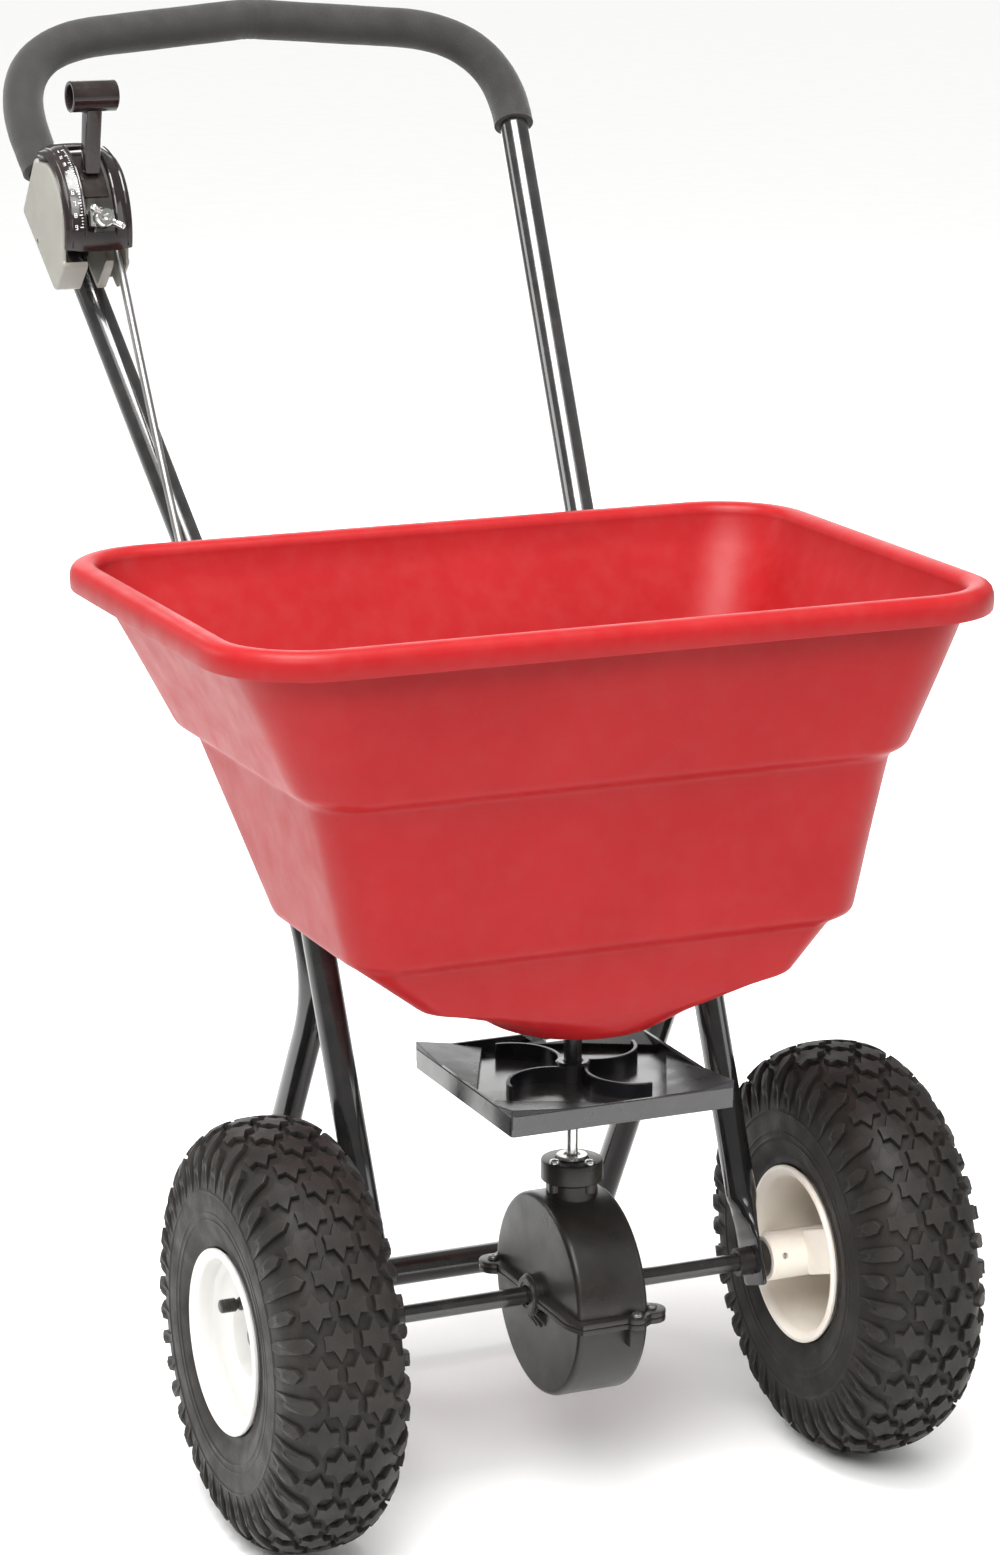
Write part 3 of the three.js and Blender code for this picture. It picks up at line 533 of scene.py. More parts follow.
def level_ring(level, per_corner=12, per_side=14):
    cx, half, front, rear, corner, z = level
    corners = [
        (cx + half - corner, rear - corner, 0),
        (cx - half + corner, rear - corner, 90),
        (cx - half + corner, front + corner, 180),
        (cx + half - corner, front + corner, 270),
    ]
    arcs = []
    for x, y, start in corners:
        turns = [radians(start + 90 * i / per_corner) for i in range(per_corner + 1)]
        arcs.append([V(x + corner * cos(t), y + corner * sin(t), z) for t in turns])
    ring = []
    for i, arc in enumerate(arcs):
        ring.extend(arc)
        following = arcs[(i + 1) % 4][0]
        ring.extend(arc[-1].lerp(following, k / per_side) for k in range(1, per_side))
    return ring


def slack(p, inward):
    """Small moulding waves of the thin walls: nothing at the lip or the bowl, most in the broad faces."""
    height = max(0.0, min(1.0, (p.z - 440) / 60)) * max(0.0, min(1.0, (650 - p.z) / 40))
    wave = sin(p.x * 0.021 + 0.6) * cos(p.z * 0.026) + 0.5 * sin(p.y * 0.035 + p.z * 0.017)
    return p + inward * (0.45 * height * wave)


def build_hopper():
    rim = (0, 275, -127.4, 246, 60, 656.7)
    bowl = [circle_level(r, z) for r, z in ((46, 348.5), (62, 353), (75, 361))]
    bowl += [(9, 89, -80, 79, 72, 369), (7, 105, -84, 81, 58, 377), (4, 124, -86, 82, 36, 386)]
    tiers = [
        (2.5, 136, -87, 82.5, 16, 391),
        (-3, 175, -90, 76, 26, 424),
        (-0.5, 188, -99, 88, 33, 431),
        (0, 213, -104, 172, 38, 541),
        (0, 224.5, -113, 190, 45, 547.5),
    ]
    wall_top = grown(rim, -6.5, 643)
    outside = eased(bowl + tiers + [wall_top], 4.5)
    lip_path = [(-6.4, 646.5), (-5.2, 648.6), (-3, 649.2), (4.6, 649.2), (6.3, 648.4), (6.8, 646.5),
                (6.8, 639), (7.2, 638.1), (8.4, 637.8), (9.7, 638.1), (10.2, 639), (10.6, 645),
                (10.3, 649.5), (9.1, 652.8), (7, 655), (4, 656.3), (0.5, 656.7), (-3, 656.3),
                (-6, 655.1), (-8.2, 652.8), (-9.3, 649.5)]
    lip = [grown(rim, by, z) for by, z in lip_path]
    inner = [grown(level, -WALL, level[5] + WALL) for level in bowl + tiers] + [grown(rim, -9.5, 646)]
    inside = eased(inner, 4.0)[::-1]
    rings = []
    for level in subdivided(outside, 22) + lip + subdivided(inside, 22):
        ring = level_ring(level)
        centre = V(level[0], (level[2] + level[3]) / 2, level[5])
        rings.append([slack(p, (p - centre).normalized()) for p in ring])
    shape = Shape().rings(rings)
    hopper = shape.piece("hopper_shell", RED, "frame", ["hopper"], sharp=50)
    cuts = []
    for side in (-1, 1):
        foot, top = strut_ends(side)
        along = (top - foot).normalized()
        sleeve = bar(Shape(), top - along * 3, top + along * 12, 14.6, 40)
        cut(hopper, cutter_from(sleeve), operation="UNION")
        cuts.append(cutter_from(bar(Shape(), foot, top + along * 8.8, 11.75, 40, ease=0.1)))
    # the shaft's hole and three outlets in the bowl
    holes = [(0, 0, 7, 380)]
    holes += [(28 * cos(a), 28 * sin(a), 8, 362) for a in map(radians, (45, 90, 135))]
    for x, y, r, top in holes:
        cuts.append(cutter_from(bar(Shape(), (DRIVE_X + x, y, 330), (DRIVE_X + x, y, top), r, 32)))
    cut(hopper, *cuts)


STRUT_HALF = 143.5              # strut foot to the centre of the axle's parts


def strut_ends(side):
    return AXLE + V(STRUT_HALF * side, 0, 0), V(145.2 * side, 98.8, 422)


# ---------- tubes ----------
TUBE, BORE = 11.1, 9.7          # radii of the tubes
LEG_X = 142
STRUT_BOLT, LEG_BOLT = (97, 413.5), (126, 411)      # (y, z) of the bolts below the hopper


def handle_point(z):
    return V(158.4 + 0.153 * (z - 650), 319.7 + 0.81 * (z - 650), z)


def leg_point(z):
    return V(LEG_X, 303.8 - 0.577 * z, z)


def handle_route(right_z, left_z, run_steps=1):
    corner, left = V(208.7, 586.2, 979), handle_point(left_z)
    corners = [handle_point(right_z), corner, V(0, 599, 995), V(-corner.x, corner.y, corner.z),
               V(-left.x, left.y, left.z)]
    return route(corners, 85, 20, run_steps)


def build_tubes():
    handle = pipe(Shape(), handle_route(565, 565), TUBE, BORE + 0.35)
    handle.piece("handle_tube_bent", PAINT, "frame", ["handle_tube"])
    for name, side in SIDES:
        top = handle_point(563)
        knee = leg_point(368.1)
        line = flip(route([top, knee, leg_point(12)], 75), side)
        tube = pipe(Shape(), line, TUBE, BORE)
        spigot = flip([handle_point(549), handle_point(594)], side)
        pipe(tube, spigot, BORE - 0.8, BORE - 2.4)
        tube.piece(f"side_tube_bent_{name}", PAINT, "frame", [f"side_tube_{name}"])
        build_strut(name, side)
    centre = leg_point(77)
    half = LEG_X - TUBE - 0.3
    cross = pipe(Shape(), [V(-half, centre.y, centre.z), V(half, centre.y, centre.z)], TUBE, BORE)
    for side in (-1, 1):
        # weld bead where the bar meets the leg
        bead = [(11.2, -1.4), (12.6, -0.9), (13.0, 0.0), (12.2, 0.5), (11.2, 0.5)]
        cross.turned(handed(bead, side), "x", V(side * half, centre.y, centre.z), 40)
    cross.piece("stand_bar", PAINT, "frame", ["stand_cross_bar"])


def build_strut(name, side):
    foot, top = strut_ends(side)
    along = (top - foot).normalized()
    across = along.cross(X_AXIS).normalized()
    through = across.cross(along).normalized()
    # (distance from the axle, half width, half thickness) down the crushed end
    crush = [(-18, 15, 2), (-16, 16.8, 2), (-6, 17.4, 2), (14, 17, 2), (24, 15.5, 3.5), (36, 13, 7),
             (48, TUBE, TUBE)]

    def section(distance):
        for (d0, w0, t0), (d1, w1, t1) in zip(crush, crush[1:]):
            if distance <= d1:
                t = max(0.0, (distance - d0) / (d1 - d0))
                smooth = t * t * (3 - 2 * t) if d0 >= 14 else t
                return w0 + (w1 - w0) * smooth, t0 + (t1 - t0) * smooth
        return TUBE, TUBE

    sides = 40
    length = (top - foot).length
    stops = [-18, -17.4, -16.6, -16, -14, -10, -6, 0, 8, 14] + [14 + 2 * k for k in range(1, 18)]
    stops += [length - 0.8, length]
    rings = []
    for distance in stops:
        wide, thick = section(distance)
        if distance == length:
            wide, thick = TUBE - 0.8, TUBE - 0.8
        flat = max(0.0, min(1.0, (TUBE - thick) / 9))
        ring = []
        for j in range(sides):
            angle = tau * j / sides
            c, s = cos(angle), sin(angle)
            c = copysign(abs(c) ** (1 - 0.55 * flat), c)
            s = copysign(abs(s) ** (1 - 0.35 * flat), s)
            ring.append(foot + along * distance + across * wide * c + through * thick * s)
        rings.append(ring)
    piece = Shape().rings(rings).piece(f"strut_crushed_{name}", PAINT, "frame", [f"strut_{name}"])
    axle_hole = bar(Shape(), foot - X_AXIS * 20, foot + X_AXIS * 20, 10.4, 40, ease=0.05)
    bolt_at = V(LEG_X * side, *STRUT_BOLT)
    bolt_hole = bar(Shape(), bolt_at - X_AXIS * 30, bolt_at + X_AXIS * 30, 3.4, 20, ease=0.05)
    cut(piece, cutter_from(axle_hole), cutter_from(bolt_hole))


def build_grip():
    points = handle_route(912, 892, 14)
    radii = [15.38 + 0.09 * sin(i * 0.83) + 0.05 * sin(i * 2.31) for i in range(len(points))]
    ahead, behind = (points[1] - points[0]).normalized(), (points[-2] - points[-1]).normalized()
    line = [points[0], points[0] + ahead * 0.6, points[0] + ahead * 1.9] + points[1:-1]
    line += [points[-1] + behind * 1.9, points[-1] + behind * 0.6, points[-1]]
    radii = [13.5, 14.7, 15.3] + radii[1:-1] + [15.3, 14.7, 13.5]
    outside = rings_along(line, radii, 48)
    inside = rings_along(points, TUBE + 0.3, 48)[::-1]
    shape = Shape().rings(outside + inside, loop=True)
    piece = shape.piece("foam_sleeve", FOAM, "frame", ["foam_grip"])


# ---------- fasteners and small frame parts ----------
def hexagon(shape, x0, x1, y, z, across, turn):
    turns = [radians(60 * k + turn) for k in range(6)]
    ring = [(y + across * cos(t), z + across * sin(t)) for t in turns]
    return shape.prism(in_yz(ring), X_AXIS, x0, x1, 0.35, 2)


def bolt_x(x0, x1, y, z):
    """Carriage bolt along X: domed head below x0, nut and thread end above x1."""
    shape = bar(Shape(), (x0 - 0.2, y, z), (x1 + 3.0, y, z), 3.0, 24, ease=0.3)
    dome = [(0.01, -3.0), (2.0, -2.85), (4.0, -2.3), (5.4, -1.2), (6.0, -0.2), (5.8, 0.0), (0.01, 0.0)]
    shape.turned(dome, "x", V(x0, y, z), 28)
    return hexagon(shape, x1 + 0.01, x1 + 3.0, y, z, 5.4, 12)


BRACKET = 126.9                 # inner face of the side brackets


def build_fasteners():
    for name, side in SIDES:
        for kind, tube_x, place in (("strut", 145.8, STRUT_BOLT), ("leg", 144, LEG_BOLT)):
            a, b = sorted((BRACKET * side, (tube_x + TUBE + 0.3) * side))
            bolt = bolt_x(a, b, *place)
            bolt.piece(f"{kind}_bolt_round_{name}", STEEL, "frame", [f"{kind}_bolt_{name}"])
        joint = handle_point(588)
        x = joint.x * side
        bolt = bolt_x(x - 12.1, x + 12.1, joint.y, joint.z)
        bolt.piece(f"handle_bolt_round_{name}", STEEL, "frame", [f"handle_bolt_{name}"])
        outline = rounded([(84, 398), (146, 398), (146, 424), (84, 424)], 5)
        inner, outer = sorted(((BRACKET + 0.3) * side, (BRACKET + 3.3) * side))
        plate = Shape().prism(in_yz(outline), X_AXIS, inner, outer, 0.5, 2)
        plate.piece(f"bracket_plate_{name}", PAINT, "frame", [f"side_bracket_{name}"])
        build_foot(name, side)
        build_bearing(name, side)
    cross = Shape()
    right = [(BRACKET - 2, 135), (BRACKET, 133), (BRACKET, 120), (BRACKET - 3, 120), (BRACKET - 3, 132)]
    folded = [(-x, y) for x, y in reversed(right)] + right
    cross.prism(in_xy(folded), Z_AXIS, 398, 424, 0.4, 2)
    piece = cross.piece("cross_tie", PAINT, "frame", ["cross_plate"])
    cut(piece, cutter_from(bar(Shape(), (-200, *LEG_BOLT), (200, *LEG_BOLT), 7.5, 24)))


def build_foot(name, side):
    """Moulded cap on a leg, cut level where it stands, with two grip rings."""
    lean = V(0, -0.577, 1).normalized()
    across = lean.cross(X_AXIS).normalized()
    sides = 40
    rings = []
    for z, r in ((0, 13.0), (0.4, 13.9), (1.4, 14.4), (3, 14.5)):
        axis = leg_point(z)
        rings.append(flip(circle(axis, X_AXIS, V(0, 1 / lean.z, 0), r, sides), side))
    top = leg_point(34)
    for back, r in ((24, 14.5), (15, 14.5), (14.4, 14.0), (13, 14.0), (12.4, 14.5), (9, 14.5), (8.4, 14.0),
                    (7, 14.0), (6.4, 14.5), (1.2, 14.5), (0.3, 14.1), (0, 13.2), (0, TUBE + 0.35)):
        rings.append(flip(circle(top - lean * back, X_AXIS, -across, r, sides), side))
    rings.append(flip(circle(leg_point(9.5), X_AXIS, -across, TUBE + 0.35, sides), side))
    Shape().rings(rings).piece(f"foot_boot_{name}", BLACK, "frame", [f"foot_cap_{name}"])


def build_bearing(name, side):
    profile = [(6.45, 131), (6.95, 130.5), (9.5, 130.5), (10, 131), (10, 146.0), (10.3, 146.4), (13, 146.4),
               (13.5, 146.9), (13.5, 151.4), (13.1, 152.2), (12.2, 152.7), (8.4, 152.7), (7.8, 152.0),
               (6.9, 152.0), (6.45, 151.6)]
    shape = Shape().turned(handed(profile, side), "x", AXLE, 56)
    for k in range(4):
        # short keys that hold the bush in the strut's hole
        t = radians(45 + 90 * k)
        x0, x1 = sorted((DRIVE_X + 135.0 * side, DRIVE_X + 141.0 * side))
        y, z = 9.2 * cos(t), AXLE_Z + 9.2 * sin(t)
        bar(shape, (x0, y, z), (x1, y, z), 1.5, 12)
    shape.piece(f"bearing_bush_{name}", BLACK, "frame", [f"axle_bearing_{name}"])


# ---------- gearbox ----------
DRUM_R, DRUM_HALF = 72.5, 26.5
COLLAR_SCREWS = [(DRIVE_X + 17.2 * cos(t), 17.2 * sin(t)) for t in map(radians, (200, 290))]


def build_gearbox():
    build_casting("upper", 1)
    build_casting("lower", -1)
    for i, (x, y) in enumerate(((31, -66), (-31, 66), (14.5, -77.5), (-14.5, 77.5)), 1):
        pan = [(0.01, 154.3), (4, 154.3), (4, 155.4), (3.4, 156.5), (2.2, 157), (0.9, 157), (0.7, 156),
               (0.01, 156)]
        screw = Shape().turned(pan, "z", V(DRIVE_X + x, y, 0), 24)
        bar(screw, (DRIVE_X + x, y, 144.5), (DRIVE_X + x, y, 154.4), 2, 16)
        screw.piece(f"flange_screw_{i}", DARK_STEEL, "frame", [f"gearbox_screw_{i}"])
    bush = [(4.08, 226), (8, 226), (8, 247.3), (10.6, 247.3), (11, 247.7), (11, 249.5), (10.5, 250), (6, 250),
            (5.2, 249.0), (4.08, 249.0)]
    shape = Shape().turned(bush, "z", V(DRIVE_X, 0, 0), 48)
    head = [(0.01, 247.1), (3.7, 247.1), (3.7, 248.2), (3.0, 249.4), (1.6, 250), (0.8, 250), (0.7, 249.2),
            (0.01, 249.2)]
    for x, y in COLLAR_SCREWS:
        shape.turned(head, "z", V(x, y, 0), 24)
    shape.piece("collar_bush_turned", STEEL, "frame", ["collar_bush"])
    finish_node("crown_gear", NYLON)
    finish_node("pinion", STEEL)


def build_casting(name, way):
    """Half of the casing: way is 1 for the upper half and -1 for the lower."""
    half = DRUM_HALF
    fillet = [(DRUM_R - 4.5 + 4.5 * sin(t), half - 4.5 + 4.5 * cos(t))
              for t in (pi / 2 * k / 6 for k in range(7))]
    profile = [(7.2, -half)] + handed(fillet, -1) + fillet[::-1] + [(7.2, half)]
    profile += [(7.2, half - 3), (DRUM_R - 3, half - 3), (DRUM_R - 3, -half + 3), (7.2, -half + 3)]
    split = degrees(0.15 / DRUM_R)
    arc = (split, 180 - split) if way > 0 else (180 + split, 360 - split)
    shape = Shape().turned(profile, "x", AXLE, 64, arc)
    # axle boss with its rolled rim
    boss = [(7.2, half - 1), (14, half - 1), (14, half + 7.6), (13.2, half + 8.8), (12.2, half + 9),
            (9.4, half + 9), (9.0, half + 8.2), (7.2, half + 8.2)]
    bead = [(13.8, half + 3.6), (15.2, half + 4.2), (15.2, half + 5.8), (13.8, half + 6.4)]
    gusset = [(12.5, half - 0.5), (24, half - 0.5), (24, half + 0.8), (15.6, half + 5.4), (12.5, half + 5.4)]
    for end in (-1, 1):
        shape.turned(handed(boss, end), "x", AXLE, 32, arc)
        shape.turned(handed(bead, end), "x", AXLE, 32, arc)
        if way > 0 and end < 0:
            continue
        for angle in map(radians, (50, 70, 90, 110, 130)):
            # gusset between the boss and the drum's face
            out = V(0, cos(angle), sin(angle) * way)
            ring = [AXLE + out * r + X_AXIS * h for r, h in handed(gusset, end)]
            shape.prism(ring, V(0, -out.z, out.y), -1.1, 1.1, 0.3, 1)
    low, high = (150.15, 154) if way > 0 else (146, 149.85)
    shape.prism(in_xy([(x + DRIVE_X, y) for x, y in flange_outline()]), Z_AXIS, low, high, 0.6, 2)
    if way > 0:
        collar = [(8.3, 212), (18.3, 212), (18.3, 230.6), (18.9, 231.6), (21.2, 232.2), (22, 233),
                  (22, 245.6), (21.6, 246.6), (20.6, 247), (12, 247), (11.6, 246), (8.3, 246)]
        shape.turned(collar, "z", V(DRIVE_X, 0, 0), 64)
        for x, y in COLLAR_SCREWS:
            bar(shape, (x, y, 226), (x, y, 246.9), 4.4, 24)
    else:
        lug = rounded([(DRIVE_X + x, y) for x, y in ((9, -79), (20, -79), (20, -68), (9, -68))], 2)
        shape.prism(in_xy(lug), Z_AXIS, 132, 146.4, 0.7, 2)
    shape.piece(f"gearbox_shell_{name}", BLACK, "frame", [f"gearbox_{name}"], sharp=30)


def flange_outline():
    """Parting flange seen from above: two wide ears at opposite corners and a small one at each end."""
    def ear(x, y, r, first, last):
        turns = [radians(first + (last - first) * k / 16) for k in range(17)]
        return [(x + r * cos(t), y + r * sin(t)) for t in turns]

    half = ear(30, -66, 11, -110, 75) + [(33, 62), (27, 79)] + ear(-14.5, 77.5, 7, 10, 165) + [(-22, 79)]
    return half + [(-x, -y) for x, y in half]


# ---------- impeller ----------
DISC_HALF, DISC_Z = 84.0, 299.0     # half the square's side, and its underside


def disc_square(half, radius):
    corners = [(DRIVE_X + half * x, half * y) for x, y in ((-1, -1), (1, -1), (1, 1), (-1, 1))]
    return rounded(corners, radius)


def build_impeller():
    half, base = DISC_HALF, DISC_Z
    shape = Shape()
    outer, inner = disc_square(half, 3), disc_square(half - 3, 2)

    def scaled(outline, by, z):
        return in_xy([(DRIVE_X + (x - DRIVE_X) * by, y * by) for x, y in outline], z)

    rings = [in_xy(outer, base + 0.5), in_xy(outer, base + 14.2), scaled(outer, 0.994, base + 15),
             scaled(inner, 1.006, base + 15), in_xy(inner, base + 14.4), in_xy(inner, base),
             scaled(outer, 0.995, base)]
    shape.rings(rings, loop=True)
    shape.prism(in_xy(disc_square(half - 1, 2)), Z_AXIS, base + 4, base + 7)
    build_fins()
    hub = [(4.3, base), (6.3, base), (6.3, base + 3.9), (12, base + 3.9), (12, base + 19), (11, base + 20),
           (7.5, base + 20), (6.3, base + 21.2), (6.3, 342.6), (5.7, 343.2), (4.3, 343.2)]
    shape.turned(hub, "z", V(DRIVE_X, 0, 0), 48)
    shape.piece("impeller_disc", SPINNER, "impeller_set", ["impeller"], sharp=30)
    shaft = bar(Shape(), (DRIVE_X, 0, 190), (DRIVE_X, 0, 374), 4, 32, ease=0.7)
    shaft.piece("impeller_shaft_turned", STEEL, "impeller_set", ["impeller_shaft"])
    stirrer = bar(Shape(), (DRIVE_X - 22, 0, 366), (DRIVE_X + 22, 0, 366), 2.2, 20, ease=0.6)
    sleeve = [(4.3, 362), (6.6, 362), (7, 362.5), (7, 369.5), (6.6, 370), (4.3, 370)]
    stirrer.turned(sleeve, "z", V(DRIVE_X, 0, 0), 36)
    stirrer.piece("agitator_pin", STEEL, "impeller_set", ["agitator"])


def build_fins():
    """Four raised corners and four gently bowed vanes on the impeller's floor."""
    half, base = DISC_HALF, DISC_Z
    fins = Shape()
    # raised corner, creased from the outer corner to the middle of its long edge: (x, y, height)
    tops = [(-half + 0.35, half - 0.35, 19.6), (-half + 52, half - 0.35, 11), (-half + 26, half - 54, 11.5),
            (-half + 0.35, half - 108, 9)]
    faces = [(3, 2, 1, 0), (4, 5, 6), (4, 6, 7)]
    faces += [(k, (k + 1) % 4, (k + 1) % 4 + 4, k + 4) for k in range(4)]
    vane = []
    for r, order in ((34.6, range(25)), (31.8, range(24, -1, -1))):
        turns = [radians(-37 + 124 * k / 24) for k in order]
        vane += [(-33.6 + r * cos(t), 27.9 + r * sin(t), 0) for t in turns]
    for i in range(4):
        turn = Matrix.Rotation(radians(90 * i), 3, "Z")

        def spun(p):
            return turn @ Vector(p) + V(DRIVE_X, 0, 0)

        feet = [spun((x, y, base + 5)) for x, y, _ in tops]
        fins.add(feet + [spun((x, y, base + up)) for x, y, up in tops], faces)
        fins.prism([spun(p) for p in vane], Z_AXIS, base + 6.5, base + 18)
    piece = fins.piece("impeller_fins", FIN, "impeller_set", sharp=30)
    bevel(piece, 0.55, 2, 30)


# ---------- shut-off plate and rod ----------
def centripetal(points, count):
    """The CAD rod's own curve through its route points."""
    points = [Vector(p) for p in points]
    ends = [points[0] * 2 - points[1]] + points + [points[-1] * 2 - points[-2]]
    result = []
    spans = len(points) - 1
    for i in range(count + 1):
        at = i / count * spans
        k = min(int(at), spans - 1)
        t = at - k
        p0, p1, p2, p3 = ends[k:k + 4]
        d0, d1, d2 = ((a - b).length ** 0.5 for a, b in ((p1, p0), (p2, p1), (p3, p2)))
        m1 = ((p1 - p0) / d0 - (p2 - p0) / (d0 + d1) + (p2 - p1) / d1) * d1
        m2 = ((p2 - p1) / d1 - (p3 - p1) / (d1 + d2) + (p3 - p2) / d2) * d1
        a = p1 * 2 - p2 * 2 + m1 + m2
        b = p1 * -3 + p2 * 3 - m1 * 2 - m2
        result.append(a * t ** 3 + b * t * t + m1 * t + p1)
    return result


def build_shutoff():
    finish_node("shutoff_plate", STEEL, 0.4)
    for name, _ in SIDES:
        finish_node(f"plate_guide_{name}", BLACK, 0.5)
    finish_node("bowl_bush", NYLON)
    points = [(-38, 90, 338), (-38, 90, 356), (-52, 99, 378), (-98, 128, 436), (-141, 168, 500),
              (-163, 205, 542), (-169, 244, 581), (-172, 416, 842), (-172, 424, 854)]
    line = centripetal(points, 150)
    radii = [2.3] + [3.0] * (len(line) - 2) + [2.3]
    shape = Shape().rings(rings_along(line, radii, 20))
    shape.piece("control_rod_bent", DARK_STEEL, "rod", ["control_rod"])


# ---------- hand control ----------
CONTROL_X = middle("control_cover").x
PIVOT = V(0, 455, 858)


def dial(angle, r, x=None):
    """A point of the control's dial: angle is in degrees forward of vertical about the lever's pivot."""
    t = radians(angle)
    return V(CONTROL_X if x is None else x, PIVOT.y - r * sin(t), PIVOT.z + r * cos(t))


def dial_arc(shape, profile, first, last, steps=40):
    """Closed profile of (radius, x from the dial's middle) swept about the pivot between two dial angles."""
    angles = [first + (last - first) * i / steps for i in range(steps + 1)]
    return shape.rings([[dial(angle, r, CONTROL_X + x) for r, x in profile] for angle in angles])


def build_control():
    build_housing()
    build_cover()
    build_lever()
    x = CONTROL_X
    pin = bar(Shape(), (x - 24.7, PIVOT.y, PIVOT.z), (x + 27, PIVOT.y, PIVOT.z), 3, 24)
    head = [(0.01, 26.3), (5.7, 26.3), (6, 26.6), (6, 27.6), (5.2, 28.6), (3.2, 29.2), (0.01, 29.3)]
    pin.turned(head, "x", V(x, PIVOT.y, PIVOT.z), 32)
    pin.piece("lever_pin_round", STEEL, "frame", ["lever_pin"])
    build_stop_and_nut()


def build_housing():
    x, half, wall = CONTROL_X, 26, 3
    front = [dial(-8 + 104 * k / 16, 49.1) for k in range(13, 2, -1)]
    outline = rounded([(471, 909), (503, 865), (429, 813), (406, 835)], 5) + [(p.y, p.z) for p in front]
    shape = Shape().prism(in_yz(outline), X_AXIS, x - half, x + half, 2.6, 4)
    housing = shape.piece("control_body", GREY, "frame", ["control_housing"], sharp=30)
    room = rounded([(467, 940), (499, 865), (429.5, 817), (409, 837), (380, 850), (380, 940)], 3)
    rod_slot = [(380, 800), (440, 800), (440, 845), (380, 845)]
    low, high = flip([handle_point(790), handle_point(940)], -1)
    # the lower front is open round the tube
    foot = handle_point(826)
    notch = [(380, 812), (foot.y, 812), (foot.y, 850), (380, 850)]
    cuts = [
        Shape().prism(in_yz(room), X_AXIS, x - half + wall, x + half - wall),
        bar(Shape(), low, high, TUBE + 0.35, 48),
        Shape().prism(in_yz(rod_slot), X_AXIS, -178, x + half - wall),
        bar(Shape(), (x - half + 1, PIVOT.y, PIVOT.z), (x + 60, PIVOT.y, PIVOT.z), 3.3, 24),
        Shape().prism(in_yz(notch), X_AXIS, -foot.x - TUBE - 1.2, -foot.x + 2),
    ]
    # two small recesses in the left wall
    for y, z in ((466.7, 845.8), (398.2, 848.5)):
        cuts.append(bar(Shape(), (x - half - 2, y, z), (x - half + 5, y, z), 2.3, 20))
    cut(housing, *[cutter_from(s) for s in cuts])


# (radius, x) across the left half of the cover
COVER_SECTION = [(53, -26), (55.2, -25.4), (57, -23.4), (58.2, -20.4), (59.6, -17.6), (60.8, -14),
                 (61.6, -8), (62, 0)]


def build_cover():
    crown = COVER_SECTION + [(r, -x) for r, x in reversed(COVER_SECTION[:-1])]
    under = [(r - 3, x * 0.9) for r, x in reversed(crown)]
    shape = dial_arc(Shape(), crown + under, -9, 101, 72)
    cover = shape.piece("control_dome", GLOSS, "frame", ["control_cover"], sharp=30)
    slot = dial_arc(Shape(), [(30, -11), (90, -11), (90, 11), (30, 11)], 14, 88, 40)
    cut(cover, cutter_from(slot))
    trim = Shape()
    for side in (-1, 1):
        # rolled rim along the slot, and a bead near the outer edge
        ring = [(61.0, 11.1), (62.4, 11.4), (62.7, 12.2), (62.4, 13.0), (61.0, 13.3)]
        dial_arc(trim, handed(ring, side), 12, 90, 60)
        edge = [(56.4, 23.2), (57.9, 22.6), (58.4, 21.8), (58.2, 20.8), (56.8, 20.4)]
        dial_arc(trim, handed(edge, side), -7, 99, 60)
    trim.piece("control_dome_rims", GLOSS, "frame")
    build_scale()


SEGMENTS = {"1": "bc", "2": "abged", "3": "abgcd", "4": "fgbc", "5": "afgcd", "6": "afgedc", "7": "abc",
            "8": "abcdefg", "9": "abcdfg"}


def build_scale():
    """Generic numbered scale beside the slot: ticks, and digits 1 to 9 drawn as short strokes."""
    marks = Shape()

    def cover_radius(x):
        for (r0, x0), (r1, x1) in zip(COVER_SECTION, COVER_SECTION[1:]):
            if x0 <= x <= x1:
                return r0 + (r1 - r0) * (x - x0) / (x1 - x0)
        return 61.8

    def patch(angle0, angle1, x0, x1):
        corners = ((x0, -0.2), (x1, -0.2), (x1, 0.14), (x0, 0.14))
        profile = [(cover_radius(x) + up, x) for x, up in corners]
        dial_arc(marks, profile, angle0, angle1, 3)

    degree_per_mm = 57.3 / 60.5         # at the cover's radius
    first, tick_gap, ticks_per_digit, tick_edge = 17, 2.1, 4, -13.7
    for k in range(33):
        angle = first + tick_gap * k
        thick, long = (0.2, 1.1) if k % ticks_per_digit else (0.28, 2.3)
        patch(angle - thick * degree_per_mm, angle + thick * degree_per_mm, tick_edge - long, tick_edge)
    height, width, line, left = 2.4, 1.7, 0.34, -19.4
    boxes = {
        "a": (-height, -height + line, 0, width), "g": (-line / 2, line / 2, 0, width),
        "d": (height - line, height, 0, width), "f": (-height, 0, 0, line), "e": (0, height, 0, line),
        "b": (-height, 0, width - line, width), "c": (0, height, width - line, width),
    }
    squash = degree_per_mm * 0.7
    for k in range(9):
        angle = first + tick_gap * ticks_per_digit * k
        for stroke in SEGMENTS[str(k + 1)]:
            a0, a1, x0, x1 = boxes[stroke]
            patch(angle + a0 * squash, angle + a1 * squash, left + x0, left + x1)
    marks.piece("control_scale", PRINT, "frame")


